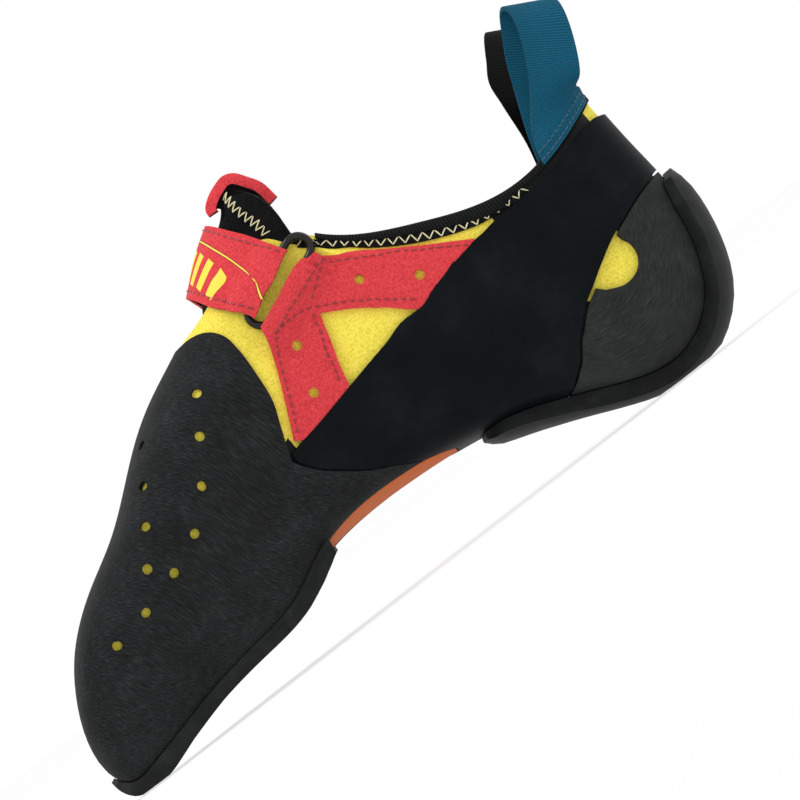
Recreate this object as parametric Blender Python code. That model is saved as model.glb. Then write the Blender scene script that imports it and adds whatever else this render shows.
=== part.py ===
# A climbing shoe for the right foot, on a turned-down last.
# Metres, +Z up, toe towards -X, medial side towards -Y.
# The origin is in the middle of the flat that the heel stands on.
import math

import bmesh
import bpy
import numpy as np
from mathutils import Vector

MM = 0.001

# the last
LENGTH = 236 * MM            # over the rubber, heel to toe
BALL_WIDTH = 80 * MM         # across the joints of the toes
HEEL_WIDTH = 54 * MM
INSTEP_HEIGHT = 125 * MM     # floor to the top of the throat
HEEL_HEIGHT = 82 * MM        # floor to the collar behind the heel

# what the pieces are cut from
WALL = 1.6 * MM              # microsuede upper with its lining
GAP = 0.3 * MM               # clearance between neighbours
SEAM = 0.5 * MM              # clearance between panels side by side
RAND = 1.6 * MM              # rubber of the rand, heel cup and toe patch
RAND_BEAD = 1.0 * MM         # how much the rand thickens at the lower edge
SOLE = 3.6 * MM              # rubber of the forefoot
HEEL_SOLE = 6.0 * MM         # rubber under and behind the heel
EDGE = 1.1 * MM              # how far the forefoot's sole stands past the rand
FLAT = 1.2 * MM              # how much the floor flattens each sole
YOKE = 1.3 * MM              # microsuede of the yokes
INSOLE = 1.2 * MM
INSOLE_WIDTH = 34 * MM
KNIT = 1.0 * MM              # tongue
ELASTIC = 0.8 * MM           # binding and tongue band
BINDING_WIDTH = 4.6 * MM
BINDING_ENDS = 0.69          # around, beside the throat
STRAP = 1.6 * MM
STRAP_WIDTH = 25 * MM
STRAP_LIFT = 1.6 * MM        # how far the strap bridges the instep
RING_WIRE = 2.4 * MM
RING_LENGTH = 31 * MM
RING_WIDTH = 10 * MM
FOLD_CLEAR = 2 * GAP         # over the ring, under what is folded round it
FOLD_SLOPE = 6 * MM
TAB = 1.6 * MM
TAB_WIDTH = 17 * MM
WEBBING = 1.4 * MM
WEBBING_WIDTH = 15 * MM
LOOP_SPREAD = 11 * MM        # how far the legs of a pull loop stand apart

TOE_SOLE = 1.55 * SOLE
CLAD = GAP + RAND + GAP      # from the upper to the inside of a sole
FORE_STACK = CLAD + TOE_SOLE - FLAT
HEEL_STACK = CLAD + HEEL_SOLE - FLAT
FORE_RISE = INSTEP_HEIGHT - FORE_STACK
HEEL_RISE = HEEL_HEIGHT - HEEL_STACK
PATTERN_GIRTH = 100 * MM     # half a girth on the flat pattern
TUCKED = 4 * GAP             # from the upper's inside down to the loose tongue
COLLAR_OUT = GAP + ELASTIC + GAP + 0.5 * WEBBING
COLLAR_IN = -(WALL + GAP + ELASTIC + GAP + 0.5 * WEBBING)

# Sections of the last, from the toe's tip to the collar. keel is the lowest
# point and ridge the highest: x in shares of LENGTH from the heel's rest, z in
# shares of the rise, y in shares of the width. sag bends the section between
# them, medial and lateral are the half widths, wide is how far up the widest
# place is, and under, inner and outer say how square the corners are.
FORE_SECTIONS = (
    # keel_x  keel_z  ridge_x ridge_z sag   keel_y ridge_y medial lateral wide  under inner outer tilt
    (-0.852, 0.055, -0.852, 0.055, 0.000, -0.19, -0.190, 0.000, 0.000, 0.50, 2.0, 0.5, 0.3, 0.00),
    (-0.841, 0.004, -0.844, 0.148, 0.000, -0.17, -0.190, 0.145, 0.150, 0.45, 3.0, 0.6, 0.3, 0.00),
    (-0.816, 0.001, -0.815, 0.258, 0.000, -0.15, -0.205, 0.220, 0.255, 0.40, 5.0, 1.0, 0.4, 0.00),
    (-0.777, 0.018, -0.779, 0.338, 0.000, -0.12, -0.215, 0.290, 0.360, 0.36, 6.0, 1.3, 0.3, 0.00),
    (-0.728, 0.042, -0.735, 0.402, 0.000, -0.085, -0.205, 0.330, 0.440, 0.33, 6.0, 1.2, 0.1, 0.00),
    (-0.674, 0.064, -0.679, 0.468, 0.000, -0.055, -0.180, 0.350, 0.500, 0.31, 6.0, 1.1, 0.0, 0.00),
    (-0.616, 0.079, -0.618, 0.564, 0.000, -0.030, -0.150, 0.370, 0.520, 0.30, 6.0, 1.0, 0.0, 0.00),
    (-0.555, 0.099, -0.557, 0.657, 0.000, -0.005, -0.120, 0.375, 0.515, 0.30, 5.5, 0.9, 0.1, 0.00),
    (-0.491, 0.149, -0.491, 0.728, 0.000, 0.020, -0.085, 0.355, 0.480, 0.31, 4.5, 0.8, 0.2, 0.04),
    (-0.418, 0.172, -0.433, 0.794, 0.000, 0.035, -0.050, 0.330, 0.430, 0.33, 3.2, 0.7, 0.3, 0.08),
    (-0.339, 0.165, -0.387, 0.872, 0.000, 0.035, -0.025, 0.320, 0.385, 0.34, 2.2, 0.6, 0.4, 0.08),
)
HEEL_SECTIONS = (
    (-0.254, 0.221, -0.346, 0.928, 0.005, 0.037, -0.015, 0.474, 0.526, 0.34, 1.8, 0.5, 0.4, 0.05),
    (-0.165, 0.155, -0.332, 0.960, 0.015, 0.018, 0.000, 0.481, 0.511, 0.33, 1.6, 0.5, 0.5, 0.02),
    (-0.074, 0.050, -0.326, 0.977, 0.028, 0.006, 0.000, 0.489, 0.504, 0.33, 1.5, 0.5, 0.5, 0.00),
    (0.009, -0.008, -0.323, 0.987, 0.042, 0.000, 0.000, 0.493, 0.499, 0.35, 1.3, 0.5, 0.5, 0.00),
    (0.072, 0.100, -0.322, 0.994, 0.058, 0.000, 0.000, 0.493, 0.496, 0.36, 1.1, 0.5, 0.5, 0.00),
    (0.101, 0.283, -0.321, 0.997, 0.072, 0.000, 0.000, 0.489, 0.492, 0.36, 1.0, 0.5, 0.5, 0.00),
    (0.110, 0.496, -0.321, 0.999, 0.085, 0.000, 0.000, 0.471, 0.474, 0.36, 0.9, 0.5, 0.5, 0.00),
    (0.104, 0.729, -0.321, 0.999, 0.096, 0.000, 0.000, 0.444, 0.449, 0.36, 0.8, 0.5, 0.5, 0.00),
    (0.098, 0.996, -0.321, 0.999, 0.105, 0.000, 0.000, 0.422, 0.430, 0.38, 0.7, 0.5, 0.5, 0.00),
)
# Columns of a section: places first, then half widths, then the corners.
KEEL_X, KEEL_Z, RIDGE_X, RIDGE_Z, SAG, KEEL_Y, RIDGE_Y, MEDIAL, LATERAL = range(9)

# The pattern's own grid. along runs from the toe's tip (0) to the collar (1),
# around from the middle of the underside (0) over the medial side to the
# ridge (1). Past the ridge, or below 0, it is the lateral side.
GRID_ALONG = (0.015, 0.035, 0.065, 0.10, 0.14, 0.18, 0.225, 0.27, 0.32, 0.37, 0.42, 0.47,
              0.515, 0.56, 0.605, 0.65, 0.69, 0.735, 0.775, 0.815, 0.855, 0.89, 0.925, 0.965)
GRID_AROUND = (0.0, 0.06, 0.11, 0.16, 0.21, 0.26, 0.33, 0.41, 0.49, 0.57, 0.65, 0.73, 0.80,
               0.90, 1.0)


def start_clean():
    for thing in list(bpy.data.objects):
        bpy.data.objects.remove(thing, do_unlink=True)


def place_sections():
    """The two tables in metres, one row after the other."""
    rows = []
    for table, width, base, rise in ((FORE_SECTIONS, BALL_WIDTH, FORE_STACK, FORE_RISE),
                                     (HEEL_SECTIONS, HEEL_WIDTH, HEEL_STACK, HEEL_RISE)):
        for row in table:
            placed = list(row)
            for column in (KEEL_X, RIDGE_X, SAG):
                placed[column] *= LENGTH
            for column in (KEEL_Y, RIDGE_Y, MEDIAL, LATERAL):
                placed[column] *= width
            placed[KEEL_Z] = base + row[KEEL_Z] * rise
            placed[RIDGE_Z] = FORE_STACK + row[RIDGE_Z] * FORE_RISE
            rows.append(placed)
    return np.array(rows)


def turn_over(rows):
    """Sections past the toe's tip, keel and ridge changed over, so that the
    surface runs smoothly across the tip."""
    turned = rows[::-1].copy()
    for low, high in ((KEEL_X, RIDGE_X), (KEEL_Z, RIDGE_Z), (KEEL_Y, RIDGE_Y)):
        turned[:, low], turned[:, high] = rows[::-1][:, high], rows[::-1][:, low]
    turned[:, MEDIAL], turned[:, LATERAL] = -rows[::-1][:, LATERAL], -rows[::-1][:, MEDIAL]
    turned[:, LATERAL + 1] = 1 - rows[::-1][:, LATERAL + 1]
    return turned


def spline_bend(knots, values):
    """Second derivatives of the smooth curve through the sections."""
    count = len(knots)
    step = np.diff(knots)
    matrix = np.zeros((count, count))
    right = np.zeros_like(values)
    matrix[0, 0] = matrix[-1, -1] = 1
    for i in range(1, count - 1):
        matrix[i, i - 1:i + 2] = step[i - 1], 2 * (step[i - 1] + step[i]), step[i]
        rise = (values[i + 1] - values[i]) / step[i] - (values[i] - values[i - 1]) / step[i - 1]
        right[i] = 6 * rise
    return np.linalg.solve(matrix, right)


ROWS = place_sections()
KEEL_SHARE, RIDGE_SHARE = 0.7, 0.5
STEPS = (KEEL_SHARE * np.hypot(np.diff(ROWS[:, KEEL_X]), np.diff(ROWS[:, KEEL_Z]))
         + RIDGE_SHARE * np.hypot(np.diff(ROWS[:, RIDGE_X]), np.diff(ROWS[:, RIDGE_Z])))
STATIONS = np.concatenate([[0], np.cumsum(STEPS)])
END = STATIONS[-1]
TURNED = 5
KNOTS = np.concatenate([-STATIONS[1:TURNED][::-1], STATIONS])
VALUES = np.concatenate([turn_over(ROWS[1:TURNED]), ROWS])
BEND = spline_bend(KNOTS, VALUES)


def section_at(place):
    i = np.clip(np.searchsorted(KNOTS, place) - 1, 0, len(KNOTS) - 2)
    step = (KNOTS[i + 1] - KNOTS[i])[..., None]
    a = (KNOTS[i + 1] - place)[..., None] / step
    b = (place - KNOTS[i])[..., None] / step
    curve = ((a ** 3 - a) * BEND[i] + (b ** 3 - b) * BEND[i + 1]) * step * step / 6
    return a * VALUES[i] + b * VALUES[i + 1] + curve


def squared(u, corner):
    return u * np.sqrt((1 + corner) / (1 + corner * u * u))


def ease(x):
    x = np.clip(x, 0.0, 1.0)
    return x * x * (3 - 2 * x)


THROAT_FROM, THROAT_SPAN = 0.80, 0.16


def last(along, around):
    """Points on the last, which is the outside of the upper."""
    along, around = np.broadcast_arrays(np.asarray(along, float), np.asarray(around, float))
    (keel_x, keel_z, ridge_x, ridge_z, sag, keel_y, ridge_y, medial, lateral,
     wide, under, inner, outer, tilt) = np.moveaxis(section_at(along * END), -1, 0)
    cosine, sine = np.cos(np.pi * around), np.sin(np.pi * around)
    is_medial = sine >= 0
    corner = under + (np.where(is_medial, inner, outer) - under) * ease(0.5 - 0.5 * cosine)
    height, reach = squared(cosine, corner), squared(sine, corner)
    low, high = np.maximum(height, 0), np.maximum(-height, 0)
    share = wide * (1 - low) + (1 - wide) * high
    x = keel_x + share * (ridge_x - keel_x)
    z = keel_z + share * (ridge_z - keel_z)
    y = keel_y + share * (ridge_y - keel_y) - np.where(is_medial, medial, lateral) * reach
    run, rise = ridge_x - keel_x, ridge_z - keel_z
    span = np.hypot(run, rise) + 1e-9
    dip = sag * (1 - np.abs(2 * share - 1) ** 3) * (1 - ease((share - THROAT_FROM) / THROAT_SPAN))
    x = x - dip * rise / span
    z = z + dip * run / span - tilt * (y - keel_y) * low
    return np.stack([x, y, z], -1)


def outward(along, around):
    """The unit normals of the last."""
    h = 7e-4
    along = np.maximum(along, 4 * h)
    run = last(along + h, around) - last(along - h, around)
    girth = last(along, around + h) - last(along, around - h)
    normal = np.cross(run, girth)
    return normal / np.linalg.norm(normal, axis=-1, keepdims=True)


def off_last(along, around, height):
    return last(along, around) + np.asarray(height)[..., None] * outward(along, around)


def raised(height):
    """A map to the surface at one height over the last."""
    return lambda along, around: off_last(along, around, np.full(np.shape(along), height))


def cut_pattern(corners, extra=(), more_turns=()):
    """One flat pattern, cut along the grid: its points and its faces."""
    flat = bmesh.new()
    face = flat.faces.new([flat.verts.new((a * END, v * PATTERN_GIRTH, 0)) for a, v in corners])
    low_a, high_a = min(a for a, v in corners), max(a for a, v in corners)
    low_v, high_v = min(v for a, v in corners), max(v for a, v in corners)
    margin = 1e-4
    cuts = [((a * END, 0, 0), (1, 0, 0)) for a in GRID_ALONG + extra
            if low_a + margin < a < high_a - margin]
    turns = [sign * v + whole for v in GRID_AROUND for sign in (1, -1) for whole in (0, 2)]
    turns += more_turns
    cuts += [((0, v * PATTERN_GIRTH, 0), (0, 1, 0)) for v in sorted(set(turns))
             if low_v + margin < v < high_v - margin]
    for point, normal in cuts:
        everything = flat.verts[:] + flat.edges[:] + flat.faces[:]
        bmesh.ops.bisect_plane(flat, geom=everything, dist=2e-5, plane_co=point, plane_no=normal)
    flat.verts.index_update()
    points = [(v.co.x / END, v.co.y / PATTERN_GIRTH) for v in flat.verts]
    faces = [[v.index for v in f.verts] for f in flat.faces]
    flat.free()
    return points, faces


def weld(points, faces):
    """Points that fall together on the last are made one, such as those of
    the toe's tip and of the seam between two patterns."""
    placed = last(np.array([a for a, v in points]), np.array([v for a, v in points]))
    known, renumber, kept = {}, [], []
    for point, place in zip(points, placed):
        key = tuple(int(round(c / (0.02 * MM))) for c in place)
        if key not in known:
            known[key] = len(kept)
            kept.append(point)
        renumber.append(known[key])
    joined = []
    for face in faces:
        ring = [renumber[i] for i in face]
        ring = [n for i, n in enumerate(ring) if n != ring[i - 1]]
        if len(ring) > 2:
            joined.append(ring)
    return kept, joined


def finish(name, mesh_data, material):
    mesh = bpy.data.meshes.new(name)
    shape = bmesh.new()
    verts = [shape.verts.new(Vector([float(c) for c in p])) for p in mesh_data[0]]
    for ring in mesh_data[1]:
        shape.faces.new([verts[i] for i in ring])
    bmesh.ops.remove_doubles(shape, verts=shape.verts[:], dist=1e-6)
    bmesh.ops.recalc_face_normals(shape, faces=shape.faces[:])
    bmesh.ops.triangulate(shape, faces=shape.faces[:], quad_method="SHORT_EDGE")
    shape.to_mesh(mesh)
    shape.free()
    mesh.shade_smooth()
    mesh.set_sharp_from_angle(angle=math.radians(40))
    mesh.materials.append(material)
    thing = bpy.data.objects.new(name, mesh)
    bpy.context.scene.collection.objects.link(thing)
    return thing


def panel(name, patterns, inside, outside, material, ledges=(), cuts=(), turns=()):
    """A sheet of the given patterns, with an inner and an outer face and
    walls between, which may step along the ledges."""
    points, faces = [], []
    for corners in patterns:
        more_points, more_faces = cut_pattern(corners, cuts, turns)
        faces += [[i + len(points) for i in ring] for ring in more_faces]
        points += more_points
    points, faces = weld(points, faces)
    along = np.array([a for a, v in points])
    around = np.array([v for a, v in points])
    count = len(points)
    shells = [inside(along, around), outside(along, around)]
    shells += [ledge(along, around) for ledge in ledges]
    steps = [0] + list(range(2, 2 + len(ledges))) + [1]
    rings = [list(reversed(ring)) for ring in faces] + [[i + count for i in ring] for ring in faces]
    uses = {}
    for ring in faces:
        for i, b in enumerate(ring):
            uses[(ring[i - 1], b)] = True
    for a, b in [edge for edge in uses if (edge[1], edge[0]) not in uses]:
        for low, high in zip(steps, steps[1:]):
            rings.append([a + low * count, b + low * count, b + high * count, a + high * count])
    used = sorted({i for ring in rings for i in ring})
    number = {old: new for new, old in enumerate(used)}
    every = np.concatenate(shells)
    return finish(name, (every[used], [[number[i] for i in ring] for ring in rings]), material)


def loft(name, sections, material, closed=False):
    """A solid through rings of equal count."""
    count = len(sections[0])
    points = [p for ring in sections for p in ring]
    rings = []
    last_ring = len(sections) if closed else len(sections) - 1
    for i in range(last_ring):
        j = (i + 1) % len(sections)
        for k in range(count):
            m = (k + 1) % count
            rings.append([i * count + k, i * count + m, j * count + m, j * count + k])
    if not closed:
        rings.append(list(range(count))[::-1])
        rings.append([(len(sections) - 1) * count + k for k in range(count)])
    return finish(name, (points, rings), material)


def mirrored(corners):
    """The same outline on the lateral side, for one that touches the keel."""
    return [(a, -v) for a, v in reversed(corners)]


def over_ridge(corners):
    """The same outline on the lateral side, for one that touches the ridge."""
    return [(a, 2 - v) for a, v in reversed(corners)]


def rounded(corners, turns=1):
    """An open run of points with its corners cut, so that it reads as a curve."""
    for _ in range(turns):
        run = [corners[0]]
        for (a, v), (c, w) in zip(corners, corners[1:]):
            run.append((0.75 * a + 0.25 * c, 0.75 * v + 0.25 * w))
            run.append((0.25 * a + 0.75 * c, 0.25 * v + 0.75 * w))
        corners = run + [corners[-1]]
    return corners


def colour(name, red, green, blue, roughness, metallic=0.0):
    material = bpy.data.materials.new(name)
    material.use_nodes = True
    shader = material.node_tree.nodes["Principled BSDF"]
    shader.inputs["Base Color"].default_value = (red, green, blue, 1)
    shader.inputs["Roughness"].default_value = roughness
    shader.inputs["Metallic"].default_value = metallic
    material.diffuse_color = (red, green, blue, 1)
    return material


# Outlines on the pattern, as (along, around), all for the medial side.
THROAT_EDGE = [(1.0, 0.700), (0.80, 0.716), (0.70, 0.745), (0.60, 0.780), (0.53, 0.820),
               (0.48, 0.880), (0.455, 0.940), (0.450, 1.0)]
PATCH_TOP = [(0.430, 1.0), (0.437, 0.930), (0.461, 0.852), (0.481, 0.790), (0.494, 0.738),
             (0.499, 0.688), (0.499, 0.636), (0.495, 0.592), (0.489, 0.562), (0.476, 0.535),
             (0.461, 0.505)]
RAND_LOW = [(0.461, 0.505), (0.478, 0.446), (0.501, 0.384), (0.524, 0.314), (0.549, 0.250),
            (0.572, 0.165)]
RAND_FRONT = [(0.461, 0.505), (0.475, 0.506), (0.518, 0.502), (0.561, 0.502), (0.606, 0.508),
              (0.658, 0.522), (0.729, 0.550), (0.823, 0.566), (0.902, 0.546), (0.955, 0.504),
              (0.978, 0.450), (0.985, 0.400)]
HEEL_TOP = [(0.989, 0.370), (0.990, 0.25), (0.988, 0.16), (0.983, 0.08), (0.980, 0.0)]
RAND_REAR = [(0.703, 0.0), (0.704, 0.13), (0.716, 0.235), (0.742, 0.316), (0.785, 0.392),
             (0.819, 0.412), (0.850, 0.409), (0.876, 0.386), (0.894, 0.348), (0.909, 0.302),
             (0.919, 0.244), (0.926, 0.164), (0.929, 0.0)]
WINDOW = [(0.848, 0.402), (0.856, 0.345), (0.866, 0.314), (0.880, 0.300), (0.893, 0.305),
          (0.903, 0.316)]
UNDER_FRONT, UNDER_REAR, UNDER_EDGE = 0.14, 0.69, 0.11
MARGIN_EDGE, MARGIN_TOE, MARGIN_REAR = 0.16, 0.10, 0.605

# The forefoot's sole: along, half width on the pattern, thickness as a share.
SOLE_ROWS = ((0.016, 0.00, 0.42), (0.022, 0.12, 0.55), (0.040, 0.20, 1.10), (0.065, 0.235, 1.50),
             (0.10, 0.250, 1.42), (0.14, 0.258, 1.15), (0.20, 0.262, 1.00), (0.36, 0.262, 1.00),
             (0.395, 0.262, 0.92), (0.415, 0.258, 0.75), (0.432, 0.250, 0.50))
FORE_CUTS = (0.055, 0.083)   # where its flat begins and ends
# The heel's sole, the same way, and where it is cut besides.
HEEL_ROWS = ((0.628, 0.00, 0.50), (0.634, 0.12, 0.58), (0.655, 0.175, 0.74), (0.69, 0.180, 0.90),
             (0.735, 0.160, 1.00), (0.80, 0.150, 1.00), (0.835, 0.148, 0.93), (0.87, 0.145, 0.84),
             (0.905, 0.135, 0.78), (0.920, 0.10, 0.62), (0.924, 0.0, 0.50))
HEEL_CUTS = (0.755, 0.795, 0.825, 0.842, 0.87, 0.905)


def beside(points, distance):
    """A run of points moved sideways on the pattern, to the left of its way."""
    flat = np.array(points) * (END, PATTERN_GIRTH)
    way = np.gradient(flat, axis=0)
    way /= np.linalg.norm(way, axis=1)[:, None]
    moved = flat + distance * np.stack([-way[:, 1], way[:, 0]], 1)
    return [(a / END, v / PATTERN_GIRTH) for a, v in moved]


def bead(along, around):
    """The rand's height over the last. It is fuller at the lower edge."""
    side = np.abs((np.asarray(around) + 1) % 2 - 1)
    fore = 1 - ease((np.asarray(along) - 0.38) / 0.12)
    start = ease((np.asarray(along) - 0.02) / 0.05)
    return GAP + RAND + RAND_BEAD * fore * start * np.exp(-((side - 0.235) / 0.06) ** 2)


def rand_face(along, around):
    return off_last(along, around, bead(along, around))


def sole_seat(along, around):
    return off_last(along, around, bead(along, around) + GAP)


def make_upper(suede):
    hole = [(UNDER_FRONT, 0.0), (UNDER_FRONT, UNDER_EDGE), (UNDER_REAR, UNDER_EDGE), (UNDER_REAR, 0.0)]
    side = [(0.0, 0.0)] + hole + [(1.0, 0.0)] + rounded(THROAT_EDGE) + [(0.0, 1.0)]
    panel("upper", [side, mirrored(side)], raised(-WALL), raised(0.0), suede)


def patch_face(along, around):
    """The patch thins out towards its upper edge."""
    side = 1 - np.abs(np.asarray(around) % 2 - 1)
    thin = ease((np.asarray(along) - 0.28) / 0.16) * ease((side - 0.40) / 0.20)
    return off_last(along, around, bead(along, around) - 0.5 * RAND * thin)


def make_toe_patch(rubber):
    low = beside(RAND_LOW, -SEAM)
    under = [(MARGIN_TOE, 0.0), (MARGIN_TOE, 0.11), (0.14, MARGIN_EDGE), (0.560, MARGIN_EDGE)]
    side = [(0.0, 0.0)] + under + low[::-1] + PATCH_TOP[-2::-1] + [(0.0, 1.0)]
    panel("toe_patch", [side, mirrored(side)], raised(GAP), patch_face, rubber)


def make_slingshot(rubber):
    start = [(MARGIN_REAR, 0.0), (MARGIN_REAR, 0.08), (0.594, 0.13)]
    tip = (RAND_LOW[0][0] + 2 * SEAM / END, RAND_LOW[0][1])
    side = start + RAND_LOW[:0:-1] + [tip] + RAND_FRONT[1:] + HEEL_TOP + RAND_REAR[::-1]
    panel("slingshot_rand", [side, mirrored(side)], raised(GAP), rand_face, rubber)


def make_heel_cup(rubber):
    """Set inside the slingshot's rear edge, with a window at the side."""
    edge = beside(RAND_REAR, -SEAM)
    edge[0] = (edge[0][0], 0.0)
    edge[-1] = (edge[-1][0], 0.0)
    side = edge[:6] + WINDOW + edge[10:]
    panel("heel_cup", [side, mirrored(side)], raised(GAP), rand_face, rubber)


def make_midsole(board):
    toe, edge = MARGIN_TOE + SEAM / END, MARGIN_EDGE - SEAM / PATTERN_GIRTH
    rear = MARGIN_REAR - SEAM / END
    side = [(toe, 0.0), (toe, 0.10), (0.14, edge), (0.560, edge), (0.588, 0.125), (rear, 0.075),
            (rear, 0.0)]
    panel("midsole", [side, mirrored(side)], raised(GAP), raised(GAP + RAND * 0.85), board)


def make_insole(board):
    """Inside the upper, clear of its turned edge under the heel."""
    half = 0.43 * INSOLE_WIDTH / BALL_WIDTH

    def top(along, around):
        clear = GAP + INSOLE * ease((along - 0.66) / 0.08)
        return off_last(along, around, -WALL - clear)

    def bottom(along, around):
        clear = GAP + INSOLE * ease((along - 0.66) / 0.08)
        return off_last(along, around, -WALL - clear - INSOLE)
    run = [(0.072, 0.10), (0.10, half - 0.03), (0.15, half), (0.60, half), (0.735, half - 0.02),
           (0.765, 0.10)]
    side = [(0.06, 0.0)] + run + [(0.772, 0.0)]
    panel("insole", [side, mirrored(side)], bottom, top, board)


def sole_table(rows):
    table = np.array(rows)
    return lambda along, column: np.interp(along, table[:, 0], table[:, column])


def keel_frame(along):
    """The keel's point and its downward normal, in the plane of the foot."""
    h = 1e-3
    run = last(along + h, 0.0) - last(along - h, 0.0)
    run[..., 1] = 0
    run /= np.linalg.norm(run, axis=-1, keepdims=True)
    down = np.stack([run[..., 2], np.zeros(run.shape[:-1]), -run[..., 0]], -1)
    return last(along, 0.0), down


def make_outsole_front(rubber):
    """A plate, flat across, whose edge stands flush with the rand."""
    value = sole_table(SOLE_ROWS)
    side = [row[:2] for row in SOLE_ROWS] + [(SOLE_ROWS[-1][0], 0.0)]

    def rim(along, around):
        return off_last(along, around, bead(along, around) + GAP + EDGE)

    def tread(along, around):
        keel, down = keel_frame(along)
        edge = np.maximum(value(along, 1), 1e-3)
        share = np.clip(np.abs(around) / edge, 0, 1)
        placed = keel + (CLAD + SOLE * value(along, 2))[..., None] * down
        inner, outer = sole_seat(along, around), rim(along, np.sign(around) * edge)
        placed[..., 1] = inner[..., 1] + share ** 4 * (outer[..., 1] - inner[..., 1])
        placed[..., 2] = np.maximum(placed[..., 2], 0.0)
        return placed
    panel("outsole_front", [side, mirrored(side)], sole_seat, tread, rubber, ledges=(rim,),
          cuts=FORE_CUTS)


def make_outsole_heel(rubber):
    """The heel's sole, which turns up behind the heel cup."""
    value = sole_table(HEEL_ROWS)
    side = [row[:2] for row in HEEL_ROWS]

    def tread(along, around):
        edge = np.maximum(value(along, 1), 1e-3)
        share = np.clip(np.abs(around) / edge, 0, 1)
        thick = HEEL_SOLE * value(along, 2)
        placed = off_last(along, around, CLAD + thick * (1 - 0.16 * share ** 4))
        placed[..., 2] = np.maximum(placed[..., 2], 0.0)
        return placed
    panel("outsole_heel", [side, mirrored(side)], sole_seat, tread, rubber, cuts=HEEL_CUTS)


# The yoke: a long arm along the collar, one down to the toe patch, and the
# window between them.
YOKE_TOP = [(0.735, 0.680), (0.80, 0.680), (0.88, 0.662), (0.935, 0.620)]
YOKE_WINDOW = [(0.698, 0.580), (0.634, 0.594)]
YOKE_TOE = [(0.478, 0.522), (0.500, 0.565), (0.512, 0.590), (0.549, 0.642)]
RING_TOP, RING_FOOT = (0.722, 0.690), (0.517, 0.651)
FOLD_TURNS = (0.615, 0.625, 0.635, 0.645, 0.655, 0.665, 0.675, 0.685, 0.695, 0.705, 0.715, 0.725,
              0.74)


def ring_line(share):
    """The ring's middle line on the pattern, foot to top."""
    return (RING_FOOT[0] + share * (RING_TOP[0] - RING_FOOT[0]),
            RING_FOOT[1] + share * (RING_TOP[1] - RING_FOOT[1]))


def ring_frame(share):
    """A point of the ring's middle line, the way along it and the way across
    it towards the toe, on the last."""
    (a, v), (b, w) = ring_line(share - 0.01), ring_line(share + 0.01)
    middle = last(*ring_line(share))
    run = last(b, w) - last(a, v)
    run /= np.linalg.norm(run)
    up = outward(np.array(ring_line(share)[0]), np.array(ring_line(share)[1]))
    across = np.cross(up, run)
    return middle, run, across / np.linalg.norm(across), up


def bar_lift(along, around, side):
    """How far a fold stands off where it passes over one bar of the ring."""
    places = last(along, around)
    middle, run, across, up = ring_frame(0.5)
    reach = (places - middle) @ across * side - 0.5 * RING_WIDTH - GAP
    length = np.abs((places - middle) @ run) - 0.5 * RING_LENGTH - GAP
    return (RING_WIRE + FOLD_CLEAR) * (1 - ease(reach / FOLD_SLOPE)) * (1 - ease(length / FOLD_SLOPE))


def make_yokes(suede):
    low = beside(RAND_FRONT, SEAM)

    def under(along, around):
        return off_last(along, around, GAP + bar_lift(along, around, -1))

    def over(along, around):
        return off_last(along, around, GAP + YOKE + bar_lift(along, around, -1))
    side = YOKE_TOP + low[8:5:-1] + YOKE_WINDOW + low[4:1:-1] + YOKE_TOE
    panel("yoke_medial", [side], under, over, suede, turns=FOLD_TURNS)
    panel("yoke_lateral", [over_ridge(side)], raised(GAP), raised(GAP + YOKE), suede)


def tube(centres, radius, sides, closed, up_hint):
    """Rings of points round a route."""
    rings = []
    count = len(centres)
    for i, centre in enumerate(centres):
        ahead = centres[(i + 1) % count] if closed or i < count - 1 else centre
        behind = centres[i - 1] if closed or i else centre
        run = ahead - behind
        run /= np.linalg.norm(run)
        side = np.cross(run, up_hint)
        side /= np.linalg.norm(side)
        top = np.cross(side, run)
        angles = [2 * math.pi * k / sides for k in range(sides)]
        rings.append([centre + radius * (math.cos(t) * side + math.sin(t) * top) for t in angles])
    return rings


def make_ring(nylon):
    middle, run, across, up = ring_frame(0.5)
    height = GAP + 0.5 * RING_WIRE + 0.15 * MM
    half, turn = 0.5 * (RING_LENGTH - RING_WIDTH), 0.5 * (RING_WIDTH - RING_WIRE)
    route = []
    bar_points, end_points = 5, 6
    for side, way in ((1, 1), (-1, -1)):
        for k in range(bar_points):
            route.append((way * half * (2 * k / (bar_points - 1) - 1), side * turn))
        for k in range(1, end_points):
            angle = math.pi * k / end_points
            route.append((way * (half + turn * math.sin(angle)), side * turn * math.cos(angle)))
    centres = []
    for length, reach in route:
        share = 0.5 + length / RING_LENGTH * 0.93
        ground, _, _, _ = ring_frame(share)
        flat = middle + run * length + across * reach
        centres.append(flat + up * (height + float((ground - middle) @ up)))
    rings = tube(centres, 0.5 * RING_WIRE, 8, True, up)
    loft("strap_ring", rings, nylon, closed=True)


STRAP_TOP = [(0.716, 0.704), (0.678, 0.786), (0.652, 0.866), (0.634, 1.0), (0.640, 1.15),
             (0.664, 1.28), (0.690, 1.36)]
STRAP_FOOT = [(0.535, 1.40), (0.520, 1.28), (0.506, 1.15), (0.502, 1.0), (0.505, 0.86),
              (0.520, 0.752), (0.549, 0.668)]


def strap_base(along, around):
    bridge = np.exp(-((np.asarray(around) - 1.0) / 0.16) ** 2)
    resting = GAP + YOKE * ease((np.asarray(around) - 1.12) / 0.1)
    return resting + GAP + STRAP_LIFT * bridge + bar_lift(along, around, 1)


def make_strap(suede):
    outline = STRAP_TOP + [(0.685, 1.405), (0.640, 1.435), (0.580, 1.435)] + STRAP_FOOT

    def under(along, around):
        return off_last(along, around, strap_base(along, around))

    def over(along, around):
        return off_last(along, around, strap_base(along, around) + STRAP)
    panel("strap", [outline], under, over, suede, turns=FOLD_TURNS)


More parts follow.
